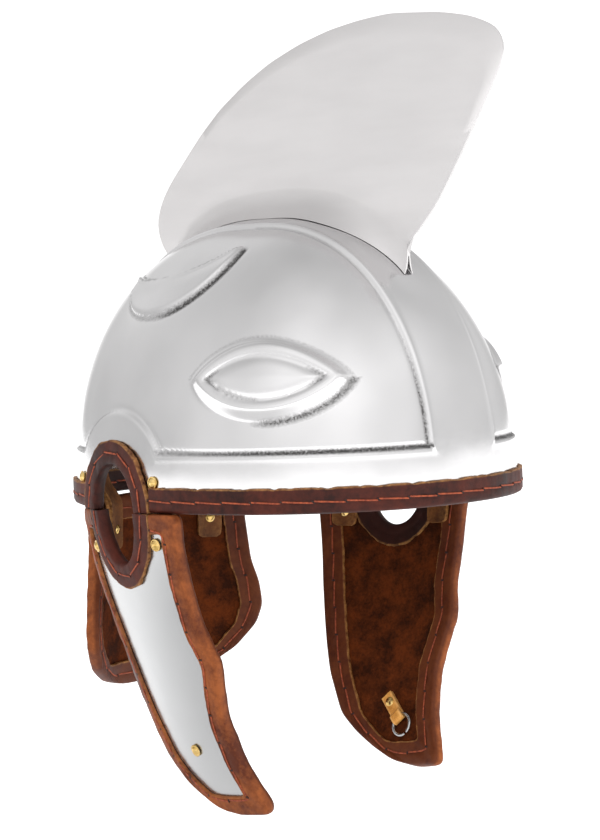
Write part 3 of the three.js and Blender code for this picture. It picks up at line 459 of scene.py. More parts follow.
def polished_steel(name, tone, low_gloss, high_gloss, stretch=(1, 1, 1), with_shade_and_stain=True, metallic=1.0):
    material, shader, add, join = make_material(name, tone, low_gloss, metallic)
    cloud = object_noise(add, 16, 3, stretch)
    brush = object_noise(add, 420, 5, stretch, 0.7)
    darker = tuple(value * 0.93 for value in tone)
    colour = ramp(add, cloud, [(0.3, darker), (0.62, tone)])
    gloss = ramp(add, brush, [(0.3, grey(low_gloss)), (0.7, grey(high_gloss))])
    # Painted shade and polishing residue from the mesh darken the steel's colour and dull its gloss
    if with_shade_and_stain:
        grains = object_noise(add, 900, 6, roughness=0.8)
        smear = reckoned(add, "MULTIPLY_ADD", grains, 1.9, -0.35)
        shade_and_stain = reckoned(add, "MULTIPLY", attribute(add, "residue"), smear, clamp=True)
        shade_and_stain = ramp(add, shade_and_stain, [(0.1, grey(0)), (0.6, grey(0.92))])
        colour = mixed(add, shade_and_stain, colour, RESIDUE_AND_SHADE_COLOUR)
        gloss = reckoned(add, "ADD", gloss, reckoned(add, "MULTIPLY", shade_and_stain, 0.35), clamp=True)
    join(colour, shader.inputs["Base Color"])
    join(gloss, shader.inputs["Roughness"])
    wave = object_noise(add, 22, 2)
    soft = add("ShaderNodeBump", Strength=0.25, Distance=0.0016, Height=wave)
    fine = add("ShaderNodeBump", Strength=0.012, Distance=0.0001, Height=brush,
               Normal=soft.outputs["Normal"])
    join(fine.outputs["Normal"], shader.inputs["Normal"])
    return material


bowl_steel = polished_steel("bowl_steel", (0.765, 0.76, 0.765), 0.16, 0.22)
bowl.data.materials.append(bowl_steel)
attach(bowl, "root")
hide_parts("bowl")


# Crest: one steel plate, cut to its outline, rounded at its edge and welded along a foot of folded
# sheet that flares into the ridge band. The foot is hollow and open at both ends.
CREST_FRONT, CREST_BACK, CREST_TOP, CREST_BASE = 151.4, 99.2, 225.9, 98.0
CREST_PLATE, FOOT_HALF_WIDTH, FOOT_HEIGHT, FOOT_END_HEIGHT = 1.6, 12.5, 14.0, 10.5
FOOT_FRONT_ANGLE, FOOT_BACK_ANGLE, FOOT_RAKE, FOOT_SEAT, FOOT_LIP = 130.5, 52.5, 0.35, 1.12, 0.1
CREST_STATIONS = 130
# Shares of the crest's length, and of its height over the foot
CREST_OUTLINE = [
    {"along": 0.248, "up": 0.147},
    {"along": 0.206, "up": 0.223},
    {"along": 0.178, "up": 0.277},
    {"along": 0.1, "up": 0.49},
    {"along": 0.028, "up": 0.7},
    {"along": 0.006, "up": 0.769},
    {"along": 0, "up": 0.823},
    {"along": 0.005, "up": 0.857},
    {"along": 0.023, "up": 0.901},
    {"along": 0.084, "up": 0.949},
    {"along": 0.16, "up": 0.978},
    {"along": 0.29, "up": 1},
    {"along": 0.373, "up": 0.99},
    {"along": 0.456, "up": 0.969},
    {"along": 0.543, "up": 0.93},
    {"along": 0.632, "up": 0.872},
    {"along": 0.709, "up": 0.801},
    {"along": 0.789, "up": 0.708},
    {"along": 0.854, "up": 0.607},
    {"along": 0.949, "up": 0.433},
    {"along": 0.981, "up": 0.36},
    {"along": 1, "up": 0.278},
    {"along": 0.999, "up": 0.224},
    {"along": 0.988, "up": 0.167},
    {"along": 0.963, "up": 0.109},
    {"along": 0.945, "up": 0.09},
]


def edited(piece, *steps):
    """Runs edit-mode steps on the whole of a piece."""
    bpy.context.view_layer.objects.active = piece
    bpy.ops.object.mode_set(mode="EDIT")
    for step, settings in steps:
        bpy.ops.mesh.select_all(action="SELECT")
        step(**settings)
    bpy.ops.object.mode_set(mode="OBJECT")


def lofted(name, rings, ends=True, smooth=40, **marks):
    """A closed skin over rings of points in millimetres, with marks kept as attributes."""
    stations, around = rings.shape[:2]
    piece, spread = new_grid(name, around, stations - 1)
    column = np.rint(spread[:, 0] * around).astype(int) % around
    row = np.rint(spread[:, 1] * (stations - 1)).astype(int)
    set_points(piece, rings[row, column] * MM)
    for key, values in marks.items():
        set_attribute(piece, key, np.broadcast_to(values, (stations, around))[row, column])
    steps = [(bpy.ops.mesh.remove_doubles, {"threshold": 1e-6})]
    if ends:
        steps.append((bpy.ops.mesh.fill_holes, {"sides": 0}))
    steps.append((bpy.ops.mesh.normals_make_consistent, {"inside": False}))
    edited(piece, *steps)
    bpy.ops.object.shade_smooth_by_angle(angle=math.radians(smooth))
    return piece


def travelled(points):
    """How far along a line of points each of them lies."""
    return np.concatenate([[0], np.cumsum(np.linalg.norm(np.diff(points, axis=0), axis=1))])


def read_between(where, known, rows):
    """Rows of values read off between the known ones."""
    return np.stack([np.interp(where, known, column) for column in rows.T], axis=1)


def spaced(points, count):
    """A line of points taken again at even steps along its length."""
    lengths = travelled(points)
    return read_between(np.linspace(0, lengths[-1], count), lengths, points)


def softened(points, reach, closed=False):
    """A line of points with its corners rounded over a number of its steps."""
    pad = int(reach * 4)
    if closed:
        padded = np.concatenate([points[-pad - 1:-1], points, points[1:pad + 1]])
    else:
        start = 2 * points[0] - points[pad:0:-1]
        end = 2 * points[-1] - points[-2:-pad - 2:-1]
        padded = np.concatenate([start, points, end])
    weights = np.exp(-0.5 * (np.arange(-pad, pad + 1) / reach) ** 2)
    weights /= weights.sum()
    columns = [np.convolve(padded[:, axis], weights, "valid") for axis in range(points.shape[1])]
    return np.stack(columns, axis=1)


def dress(piece, material, node=None):
    piece.data.materials.append(material)
    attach(piece, "root")
    if node:
        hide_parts(node)


def ridge_point(share, lift, side):
    front = FOOT_FRONT_ANGLE - lift * FOOT_RAKE
    back = FOOT_BACK_ANGLE + lift * FOOT_RAKE
    angle = np.radians(front + (back - front) * share)
    spot = np.stack([side, np.cos(angle) * BOWL_HEIGHT, np.sin(angle) * BOWL_HEIGHT], axis=-1)
    return on_dome(spot, FOOT_SEAT + lift)


outline = np.array([[row["along"] * (CREST_FRONT + CREST_BACK) - CREST_FRONT,
                     CREST_BASE + row["up"] * (CREST_TOP - CREST_BASE)] for row in CREST_OUTLINE])
outline = softened(spaced(outline, CREST_STATIONS), 1.3)
share = np.linspace(0, 1, CREST_STATIONS)
from_end = np.minimum(share, 1 - share)
foot_top = FOOT_END_HEIGHT + (FOOT_HEIGHT - FOOT_END_HEIGHT) * smooth_step(from_end / 0.07)
half_plate = CREST_PLATE / 2
# The flare narrows towards both ends of the foot
foot_half = FOOT_HALF_WIDTH * (0.24 + 0.76 * smooth_step(share / 0.34) * smooth_step((1 - share) / 0.2))
columns = []
for climb in (0, 0.04, 0.1, 0.18, 0.28, 0.4, 0.53, 0.68, 0.84):
    across = half_plate + (foot_half - half_plate) * (1 - climb) ** 2.3
    columns.append(ridge_point(share, FOOT_LIP + climb * (foot_top - FOOT_LIP), across))
keel = ridge_point(share, foot_top, np.full_like(share, half_plate))
edge = np.stack([np.full_like(share, half_plate), outline[:, 0], outline[:, 1]], axis=-1)
for climb in (0, 0.12, 0.3, 0.5, 0.7, 0.88, 0.985):
    columns.append(keel + (edge - keel) * climb)
columns.append(edge * [0.5, 1, 1])
inner_columns = []
for climb in (0.97, 0.7, 0.45, 0.25, 0.1, 0):
    across = 0.3 + (foot_half * 0.86 - 0.3) * (1 - climb) ** 2.3
    inner_columns.append(ridge_point(share, climb * foot_top * 0.62, across))
mirrored = [column * [-1, 1, 1] for column in [*inner_columns, *columns]]
ring = [*columns, *reversed(mirrored), *inner_columns]
crest = lofted("crest", np.stack(ring, axis=1), smooth=35)
crest_steel = polished_steel("crest_steel", (0.69, 0.675, 0.675), 0.36, 0.44, (1, 0.6, 3), False, 0.85)
dress(crest, crest_steel, "crest_plate")

# Rim edging: strips of oiled leather folded over the bowl's edge and stitched through, with an
# arched piece folded round the edge of each ear notch. Cut edges show the paler inside.
EDGE_DEPTH, EDGE_OUTER, EDGE_INNER, ARCH_PROUD = 12.7, 3.3, -3.8, 0.45
RIM_SEAM, ARCH_SEAM, STITCH_PITCH, THREAD, SLANT = 5.9, 7.0, 15.5, 0.42, 0.8
SEAM_SINK = 0.3
DARK_LEATHER, DARK_LEATHER_LIGHT = (0.021, 0.005, 0.0035), (0.08, 0.016, 0.009)
CUT_LEATHER = (0.46, 0.22, 0.07)


def wander(distance, size, seed=0.0):
    """A smooth unevenness between about -1 and 1 along a distance."""
    total = 0
    for share, phase in ((1.0, 0.0), (0.61, 1.9), (0.37, 4.1), (0.23, 2.3)):
        total = total + share * np.sin(distance * 2 * math.pi / (size * share) + phase + seed * 2.7)
    return total / 1.6


def folded_section(depth, leather, outer, inner, seam, inner_seam, shown=1.0):
    """Section of a folded strip: distance in from its fold, depth under its outer face, cut share."""
    rows = [(outer, leather, shown), (outer, leather * 0.3, shown), (outer - 0.35, 0, shown)]
    rows += [(outer - 1.1, 0, 0), (seam + 1, 0, 0), (seam, SEAM_SINK, 0), (seam - 1, 0, 0)]
    rows.append(((seam + leather) / 2, 0, 0))
    for step in range(7):
        angle = math.pi * (step / 6 - 0.5)
        rows.append((leather * (1 - math.cos(angle)), depth / 2 * (1 + math.sin(angle)), 0))
    rows += [(inner_seam - 1, depth, 0), (inner_seam, depth - SEAM_SINK, 0), (inner_seam + 1, depth, 0)]
    rows += [(inner - 1.1, depth, 0), (inner - 0.35, depth, 1), (inner, depth - leather * 0.3, 1)]
    rows += [(inner, depth - leather, 1), (leather + 0.6, depth - leather, 0), (leather + 0.6, leather, 0)]
    return np.array(rows).T


def folded_strip(name, place, distance, section, closed=False, seed=0.0, rough=0.5):
    """A folded strip laid by place(station, in from the fold, depth), uneven as cut leather is."""
    inwards, deep, cut = section
    travel = distance[:, None]
    station = np.repeat(np.arange(len(distance))[:, None], len(inwards), axis=1)
    reach = inwards + cut * wander(travel, 23, seed) * rough
    reach += cut * wander(travel, 7, seed + 2) * rough * 0.5
    middle = section[1].max() / 2
    swell = wander(travel, 31, seed + 1) * 0.16 + wander(travel + inwards * 3, 11, seed + 3) * 0.1
    from_stitch = ((travel / STITCH_PITCH) % 1 - 0.5) * STITCH_PITCH
    dip = bell(from_stitch, 1.8) * bell(inwards - RIM_SEAM, 2.6) * 0.3
    outward = np.sign(deep - middle) * (np.minimum(deep, 2 * middle - deep) < 0.5)
    reach = np.maximum(reach, 0)
    rings = place(station, reach, deep + outward * (swell - dip))
    if closed:
        rings[-1] = rings[0]
    # The inner flap is marked for painted shade, which darkens the leather's colour there
    inner = (deep > middle * 1.2) * 0.7
    return lofted(name, rings, ends=not closed, cut=cut[None, :], worn=inner[None, :])


def leather(name, dark, light, cut, roughness=0.55, patch=26, grain=0.35, sheen=0.2):
    material, shader, add, join = make_material(name, dark, roughness)
    shader.inputs["Specular IOR Level"].default_value = sheen
    patches = object_noise(add, patch, 5, roughness=0.65)
    specks = object_noise(add, patch * 9, 4, roughness=0.7)
    mottle = reckoned(add, "ADD", reckoned(add, "MULTIPLY_ADD", specks, 0.45, -0.22), patches)
    colour = ramp(add, mottle, [(0.36, dark), (0.66, light)])
    # Painted shade: the inner flaps of folded strips are darkened
    inner_shade_colour = (dark[0] * 0.7, dark[1] * 0.6, dark[2] * 0.4)
    colour = mixed(add, attribute(add, "worn"), colour, inner_shade_colour)
    fray = reckoned(add, "MULTIPLY_ADD", specks, 2.4, -0.75)
    frayed = reckoned(add, "MULTIPLY", attribute(add, "cut"), fray, clamp=True)
    join(mixed(add, frayed, colour, cut), shader.inputs["Base Color"])
    gloss = ramp(add, patches, [(0.3, grey(roughness - 0.12)), (0.7, grey(roughness + 0.1))])
    join(gloss, shader.inputs["Roughness"])
    creases = object_noise(add, 260, 5, roughness=0.7)
    pores = object_noise(add, 1900, 3, roughness=0.6)
    coarse = add("ShaderNodeBump", Strength=grain, Distance=0.0006, Height=creases)
    fine = add("ShaderNodeBump", Strength=grain, Distance=0.0002, Height=pores,
               Normal=coarse.outputs["Normal"])
    join(fine.outputs["Normal"], shader.inputs["Normal"])
    return material


def bisected(low, high, steps, is_below):
    """Halves the span from low to high time and again, keeping the half that is_below points to."""
    for _ in range(steps):
        middle = (low + high) / 2
        below = is_below(middle)
        low = np.where(below, middle, low)
        high = np.where(below, high, middle)
    return low


def dome_side(y, z, grow):
    """How far out the bowl's side lies at a y and a height."""
    def inside(x):
        return dome_share(np.stack([x, y, np.maximum(z, 0)], axis=-1), grow) < 1

    return bisected(np.zeros_like(y), np.full_like(y, 110.0), 24, inside)


def rim_place(bearings):
    def place(station, reach, deep):
        angle = bearings[station]
        flat = np.stack([np.cos(angle), np.sin(angle), np.zeros_like(angle)], axis=-1)
        spots = on_dome(flat * 100, EDGE_OUTER - deep)
        spots[..., 2] = np.minimum(reach, EDGE_DEPTH) - EDGE_DEPTH
        return spots
    return place


def arch_place(turns, side):
    def place(station, reach, deep):
        turn = turns[station]
        y = EAR_Y + (EAR_HALF_WIDTH + reach) * np.cos(turn)
        z = EAR_Z + (EAR_RISE + reach) * np.sin(turn)
        x = dome_side(y, z, EDGE_OUTER + ARCH_PROUD - deep) * side
        return np.stack([x, y, z], axis=-1)
    return place


def even_stations(place, values, step):
    """Values of a path's parameter at even steps along the path."""
    line = place(values)(np.arange(len(values)), np.full(len(values), 5.0), np.zeros(len(values)))
    distance = travelled(line)
    wanted = np.linspace(0, distance[-1], int(distance[-1] / step) + 1)
    return np.interp(wanted, distance, values), wanted


def copied(piece):
    bpy.ops.object.select_all(action="DESELECT")
    piece.select_set(True)
    bpy.context.view_layer.objects.active = piece
    bpy.ops.object.duplicate()
    return bpy.context.object


def joined(pieces):
    """Joins pieces into the first of them."""
    bpy.ops.object.select_all(action="DESELECT")
    for piece in pieces:
        piece.select_set(True)
    bpy.context.view_layer.objects.active = pieces[0]
    bpy.ops.object.join()
    return pieces[0]


# Place along a stitch as a share of its thread, and its radius, rise and hole share there
STITCH = np.array([
    (-0.06, 0.1, -0.5, 1), (-0.055, 1.9, -0.1, 1), (0, 0.6, -0.02, 1), (0.02, 1, 0.05, 0),
    (0.1, 1, 0.16, 0), (0.3, 1, 0.2, 0), (0.5, 1, 0.22, 0), (0.7, 1, 0.2, 0), (0.9, 1, 0.16, 0),
    (0.98, 1, 0.05, 0), (1, 0.6, -0.02, 1), (1.055, 1.9, -0.1, 1), (1.06, 0.1, -0.5, 1)])


def stitches(name, line, outward, pitch=STITCH_PITCH, hole=0.8, lift=0.1, pull=0.85):
    """Stitches end to end along a line over leather: one thread is modelled and copied."""
    distance = travelled(line)
    count = max(1, int(round(distance[-1] / pitch)))
    pitch = distance[-1] / count
    turn = np.arange(6) / 6 * 2 * math.pi
    pieces = []
    for index in range(count):
        where = index * pitch + hole + STITCH[:, 0] * (pitch - 2 * hole)
        middle = read_between(where, distance, line)
        up = read_between(where, distance, outward)
        up /= np.linalg.norm(up, axis=1)[:, None]
        # A taut thread runs straight from hole to hole, as far as the leather lets it
        pulled = middle[:1] + (middle[-1:] - middle[:1]) * STITCH[:, :1] - middle
        pulled -= (pulled * up).sum(axis=1)[:, None] * up
        middle = middle + pull * pulled
        ahead = np.gradient(middle, axis=0)
        beside = np.cross(ahead, up)
        beside /= np.linalg.norm(beside, axis=1)[:, None]
        radius = STITCH[:, 1] * THREAD
        middle = middle + up * (lift + STITCH[:, 2])[:, None]
        middle = middle + beside * ((STITCH[:, :1] - 0.5) * SLANT)
        round_thread = beside[:, None] * np.cos(turn)[None, :, None]
        round_thread = round_thread + up[:, None] * np.sin(turn)[None, :, None] * 0.8
        rings = middle[:, None] + radius[:, None, None] * round_thread
        if index == 0:
            first = lofted(name, rings, hole=STITCH[:, 3][:, None])
            flat = rings.reshape(-1, 3)
            order = [np.argmin(np.linalg.norm(flat - spot, axis=1)) for spot in points_of(first) / MM]
            pieces.append(first)
            continue
        copy = copied(first)
        set_points(copy, rings.reshape(-1, 3)[order] * MM)
        pieces.append(copy)
    dress(joined(pieces), thread)


thread, thread_shader, add, join = make_material("waxed_thread", (0.5, 0.085, 0.028), 0.7)
thread_colour = ramp(add, object_noise(add, 700, 3), [
    (0.35, (0.17, 0.028, 0.011)),
    (0.65, (0.4, 0.08, 0.025)),
])
# Painted shade: the thread is darkened where it dives into its holes
thread_colour = mixed(add, attribute(add, "hole"), thread_colour, (0.02, 0.007, 0.005))
join(thread_colour, thread_shader.inputs["Base Color"])


def seam(name, place, count, inwards, deep, **settings):
    """Stitches over a strip's face at a distance in from its fold."""
    station = np.arange(count)
    face = place(station, np.full(count, inwards), np.full(count, deep))
    sign = -1 if deep < 2 else 1
    raised = place(station, np.full(count, inwards), np.full(count, deep + sign))
    stitches(name, face, raised - face, **settings)


dark_leather = leather("dark_leather", DARK_LEATHER, DARK_LEATHER_LIGHT, CUT_LEATHER)
EDGE_STACK = EDGE_OUTER - EDGE_INNER
ARCH_OVERLAP = 2.6
rim_section = folded_section(EDGE_STACK, EDGE_LEATHER, EDGE_DEPTH, EDGE_DEPTH, RIM_SEAM, RIM_SEAM)
rim_pieces = []
for name, start, direction in (("front", -math.pi, -1), ("back", math.pi, 1)):
    end = EAR_Y + direction * (EAR_HALF_WIDTH + EAR_EDGE - ARCH_OVERLAP)
    turns = np.linspace(start, 0, 721)
    flat = np.stack([np.cos(turns), np.sin(turns), np.zeros_like(turns)], axis=-1)
    past_end = (on_dome(flat * 100, EDGE_OUTER)[:, 1] - end) * direction
    bearings, distance = even_stations(rim_place, turns[past_end > 0], 1.6)
    laid = rim_place(bearings)
    rim_pieces.append(folded_strip(f"rim_{name}", laid, distance, rim_section, seed=end, rough=0.6))
    seam(f"rim_{name}_stitches", laid, len(bearings), RIM_SEAM, SEAM_SINK)
    seam(f"rim_{name}_inner_stitches", laid, len(bearings), RIM_SEAM, EDGE_STACK - SEAM_SINK)
arch_section = folded_section(EDGE_STACK, EDGE_LEATHER, EAR_EDGE, EAR_EDGE, ARCH_SEAM, ARCH_SEAM)
for side, name in ((-1, "right"), (1, "left")):
    turns, distance = even_stations(
        lambda turns: arch_place(turns, side), np.linspace(0, math.pi, 200), 1.3)
    laid = arch_place(turns, side)
    rim_pieces.append(folded_strip(f"arch_{name}", laid, distance, arch_section, seed=side + 3))
    seam(f"arch_{name}_stitches", laid, len(turns), ARCH_SEAM, SEAM_SINK, pitch=12)
rim_edging = joined(rim_pieces)
rim_edging.name = "rim_leather"
dress(rim_edging, dark_leather, "rim_edging")

# Cheek guards: each is a bent steel plate with a suede lining, bound together by a folded leather
# border and, round the ear, a darker edging, both stitched through. Rivets hold the plate.
GUARD_LENGTH, GUARD_WIDTH, GUARD_RADIUS, GUARD_RELAX, GUARD_BEND = 162.0, 100.0, 130.0, 12.0, 50.0
GUARD_Z, EAR_DROP = -13.3, 26.5
FLAP, PLATE, PLATE_FACE, LINING, LINING_FACE, GUARD_STACK = 1.6, 1.2, 1.9, 1.5, 3.4, 6.8
BORDER, INNER_BORDER, TUCK, BORDER_SEAM, INNER_SEAM, EAR_SEAM = 10.5, 13.5, 4.0, 8.6, 7.0, 6.6
BORDER_REACH, BORDER_STEPS = 16.0, 32
BORDER_LEATHER, BORDER_LIGHT = (0.085, 0.017, 0.005), (0.29, 0.08, 0.02)
SUEDE_DARK, SUEDE_LIGHT = (0.03, 0.0066, 0.0016), (0.125, 0.027, 0.0055)
CHEEKS = [
    {"name": "right", "mirror": -1, "out": 101.6, "shift": 28.4, "yaw": 12.1, "lean": 17.4, "roll": 0.7},
    {"name": "left", "mirror": 1, "out": 105.6, "shift": 24.2, "yaw": 13.5, "lean": 22.4, "roll": 2.4},
]
# Edges at stations down a guard, as shares of its length and width
CHEEK_TABLE = [
    {"down": 0, "front": -0.46, "back": 0.49},
    {"down": 0.02, "front": -0.488, "back": 0.5},
    {"down": 0.12, "front": -0.47, "back": 0.485},
    {"down": 0.38, "front": -0.453, "back": 0.42},
    {"down": 0.5, "front": -0.492, "back": 0.384},
    {"down": 0.585, "front": -0.45, "back": 0.355},
    {"down": 0.68, "front": -0.415, "back": 0.315},
    {"down": 0.82, "front": -0.432, "back": 0.215},
    {"down": 0.88, "front": -0.46, "back": 0.11},
    {"down": 0.93, "front": -0.49, "back": -0.01},
    {"down": 0.975, "front": -0.517, "back": -0.15},
    {"down": 1, "front": -0.51, "back": -0.34},
]


def hanging_sheet(out, shift, yaw, lean, roll, mirror, radius, relax, bend, back=False):
    """Places on a bent hanging sheet, from how far along, down and in a point lies."""
    tilt, turn = math.radians(roll), math.radians(yaw)
    top_lean, end_lean = math.radians(lean - relax), math.radians(lean)
    rate = (end_lean - top_lean) / bend

    def place(along, down, inward):
        s = along * math.cos(tilt) - down * math.sin(tilt)
        d = down * math.cos(tilt) + along * math.sin(tilt)
        bent = np.minimum(d, bend)
        angle = top_lean + rate * bent
        fall, inset = bent, 0 * bent
        if abs(rate) > 1e-9:
            fall = (np.sin(angle) - math.sin(top_lean)) / rate
            inset = (math.cos(top_lean) - np.cos(angle)) / rate
        fall = fall + (d - bent) * np.cos(angle)
        inset = inset + (d - bent) * np.sin(angle)
        swell = (radius - inward) * np.cos(s / radius) - radius
        sideways = (radius - inward) * np.sin(s / radius)
        outwards = swell * np.cos(angle) - inset
        z = np.minimum(GUARD_Z - fall - swell * np.sin(angle), EAR_Z - GAP)
        if back:
            return np.stack([sideways, out + outwards, z], axis=-1)
        x = out + math.cos(turn) * outwards - math.sin(turn) * sideways
        y = shift + math.sin(turn) * outwards + math.cos(turn) * sideways
        return np.stack([mirror * x, y, z], axis=-1)

    return place


def table_line(table, length, width, side, inset, count):
    downs = np.array([row["down"] for row in table]) * length
    drawn_in = inset if side == "front" else -inset
    edge = np.array([row[side] for row in table]) * width + drawn_in
    kept = downs[(downs > inset + 0.5) & (downs < length - inset - 0.5)]
    down = np.concatenate([[inset], kept, [length - inset]])
    return spaced(np.stack([np.interp(down, downs, edge), down], axis=1), count)


def guard_line(table, length, width, inset, ear):
    """A line a distance in from a guard's outline, from the top round to the top again."""
    front = table_line(table, length, width, "front", inset, 110)
    back = table_line(table, length, width, "back", inset, 110)[::-1]
    notch = ear[0] * math.sqrt(max(0, 1 - (inset / ear[1]) ** 2)) if ear else 0
    top_front = np.linspace([-notch, inset], front[0], 12 if ear else 40)[:-1]
    bottom = np.linspace(front[-1], back[0], 12)[1:-1]
    top_back = np.linspace(back[-1], [notch, inset], 12 if ear else 40)[1:]
    return softened(np.concatenate([top_front, front, bottom, back, top_back]), 1.7, closed=not ear)


def border_place(place, table, length, width, ear):
    insets = np.linspace(0, BORDER_REACH, BORDER_STEPS + 1)
    lines = np.stack([guard_line(table, length, width, inset, ear) for inset in insets])

    def laid(station, reach, deep):
        level = np.clip(reach / BORDER_REACH * BORDER_STEPS, 0, BORDER_STEPS - 0.001)
        low = level.astype(int)
        share = (level - low)[..., None]
        flat = lines[low, station] * (1 - share) + lines[low + 1, station] * share
        return place(flat[..., 0], flat[..., 1], deep)

    return laid, lines.shape[1]


def ear_place(place, turns):
    def laid(station, reach, deep):
        turn = turns[station]
        return place(-(EAR_HALF_WIDTH + reach) * np.cos(turn), (EAR_DROP + reach) * np.sin(turn), deep)
    return laid


def guard_sheet(name, place, table, length, width, face, thick, ear):
    """A plate or lining: a flat sheet trimmed to the guard's outline and ear hole, then bent."""
    rows, columns = 90, 56
    sheet, spread = new_grid(name, columns, rows)
    row = np.rint(spread[:, 1] * rows).astype(int)
    front = table_line(table, length, width, "front", TUCK, rows + 1)
    back = table_line(table, length, width, "back", TUCK, rows + 1)
    flat = front[row] * (1 - spread[:, :1]) + back[row] * spread[:, :1]
    set_points(sheet, np.column_stack([flat, np.zeros(len(flat))]) * MM)
    if ear:
        half_width, drop = EAR_HALF_WIDTH + TUCK, EAR_DROP + TUCK

        def ear_share(spots):
            return np.hypot(spots[:, 0] / half_width, spots[:, 1] / drop)

        open_edge = cut_away(sheet, lambda centres: ear_share(centres) < 1)
        spots = points_of(sheet) / MM
        share = ear_share(spots)
        near = open_edge & (share < 1.12) & (spots[:, 1] > TUCK + 0.1)
        spots[near, :2] /= share[near, None]
        set_points(sheet, spots * MM)
    apply_modifier(sheet, "SOLIDIFY", thickness=thick * MM, offset=1)
    spots = points_of(sheet) / MM
    set_points(sheet, place(spots[:, 0], spots[:, 1], face + np.abs(spots[:, 2])) * MM)
    edited(sheet, (bpy.ops.mesh.normals_make_consistent, {"inside": False}))
    bpy.ops.object.shade_smooth_by_angle(angle=math.radians(40))
    return sheet


def make_guard(name, place, table, length, width, ear):
    outline = (table, length, width)
    plate = guard_sheet(f"{name}_steel", place, *outline, PLATE_FACE, PLATE, ear)
    dress(plate, guard_steel, f"{name}_plate")
    lining = guard_sheet(f"{name}_suede", place, *outline, LINING_FACE, LINING, ear)
    dress(lining, suede, f"{name}_lining")
    # The outer flap's cut edge shows only 0.3 of the paler cut colour: painted shade along the border's
    # outer edge
    section = folded_section(
        GUARD_STACK, FLAP, BORDER, INNER_BORDER, BORDER_SEAM, INNER_SEAM, shown=0.3)
    laid, count = border_place(place, *outline, ear)
    station = np.arange(count)
    distance = travelled(laid(station, np.zeros(count), np.zeros(count)))
    seed = length + len(name)
    border = folded_strip(
        f"{name}_binding", laid, distance, section, closed=not ear, seed=seed, rough=0.25)
    dress(border, border_leather, f"{name}_border")
    seam(f"{name}_stitches", laid, count, BORDER_SEAM, SEAM_SINK, pull=0.3)
    seam(f"{name}_inner_stitches", laid, count, INNER_SEAM, GUARD_STACK - SEAM_SINK, pull=0.3)


guard_steel = polished_steel("guard_steel", (0.54, 0.545, 0.55), 0.24, 0.27, with_shade_and_stain=False, metallic=0.95)
border_leather = leather("border_leather", BORDER_LEATHER, BORDER_LIGHT, CUT_LEATHER, patch=34)
suede = leather(
    "suede", SUEDE_DARK, SUEDE_LIGHT, CUT_LEATHER, roughness=0.9, patch=75, grain=0.8, sheen=0.1)
ear_section = folded_section(GUARD_STACK, FLAP, EAR_EDGE, EAR_EDGE, EAR_SEAM, EAR_SEAM)
guard_places = {}
for cheek in CHEEKS:
    sides = {key: value for key, value in cheek.items() if key != "name"}
    place = hanging_sheet(**sides, radius=GUARD_RADIUS, relax=GUARD_RELAX, bend=GUARD_BEND)
    name = f"{cheek['name']}_cheek"
    guard_places[name] = place
    ear = (EAR_HALF_WIDTH + EAR_EDGE + GAP, EAR_DROP + EAR_EDGE + GAP)
    make_guard(name, place, CHEEK_TABLE, GUARD_LENGTH, GUARD_WIDTH, ear)
    turns, distance = even_stations(
        lambda turns: ear_place(place, turns), np.linspace(0, math.pi, 240), 1.4)
    laid = ear_place(place, turns)
    edging = folded_strip(f"{name}_ear_leather", laid, distance, ear_section, seed=cheek["out"])
    dress(edging, dark_leather, f"{name}_ear_edging")
    seam(f"{name}_ear_stitches", laid, len(turns), EAR_SEAM, SEAM_SINK, pitch=12.5)

# Neck guard: a smaller plate of the same make, bound all round, behind the bowl
NECK_LENGTH, NECK_WIDTH, NECK_RADIUS, NECK_OUT, NECK_LEAN = 105.0, 143.8, 90.0, 121.0, -3.5
NECK_TABLE = [
    {"down": 0, "half": 0.41},
    {"down": 0.4, "half": 0.453},
    {"down": 0.52, "half": 0.486},
    {"down": 0.64, "half": 0.5},
    {"down": 0.743, "half": 0.475},
    {"down": 0.867, "half": 0.391},
    {"down": 0.956, "half": 0.281},
    {"down": 0.985, "half": 0.2},
    {"down": 1, "half": 0.1},
]
neck_rows = [{"down": row["down"], "front": -row["half"], "back": row["half"]} for row in NECK_TABLE]
neck_place = hanging_sheet(NECK_OUT, 0, 0, NECK_LEAN, 0, 1, NECK_RADIUS, 0, 1, back=True)
make_guard("neck_guard", neck_place, neck_rows, NECK_LENGTH, NECK_WIDTH, None)

# Hinge straps: short tan leather straps behind the joint, riveted to the bowl above and to each
# guard below, so that the guards swing. Rivets are brass, domed with a raised rim.
STRAP, STRAP_WIDTH, STRAP_TOP, STRAP_DROP, FACET_GAP = 2.0, 15.0, 11.0, 28.0, 0.75
STRAP_STATIONS = 41
STRAP_FACE = BOWL_WALL + GAP + EDGE_LEATHER + FACET_GAP
STUD_HEIGHT, STUD_LIFT, STUD_SINK = 2.2, 0.45, 0.65
# Half of a rivet's section from the top of its head down: distance from its axis, and height
STUD_SECTION = [
    (0, 1.9), (0.9, 1.82), (1.7, 1.5), (2.3, 1.0), (2.55, 0.72), (2.75, 0.72), (3.0, 0.78), (3.2, 0.6),
    (3.2, 0.15), (2.9, 0), (1.2, 0), (1.2, -1), (2.4, -1), (2.56, -1.2), (1.9, -1.7), (0, -2)]
TAN_DARK, TAN_LIGHT = (0.06, 0.019, 0.005), (0.16, 0.055, 0.014)
# Where a strap lies: its rivet's y in the bowl's rim, and its line along and down the guard
HINGES = [
    {"end": "front", "bowl_y": EAR_Y - EAR_HALF_WIDTH - 15, "along": -EAR_HALF_WIDTH - 14, "down": 16},
    {"end": "back", "bowl_y": EAR_Y + EAR_HALF_WIDTH + 19, "along": EAR_HALF_WIDTH + 14.5, "down": 20},
]
NECK_REACH = BOWL_BACK * 0.86
NECK_HINGES = [
    {"end": "right", "along": -0.27 * NECK_WIDTH, "down": 17},
    {"end": "left", "along": 0.27 * NECK_WIDTH, "down": 17},
]


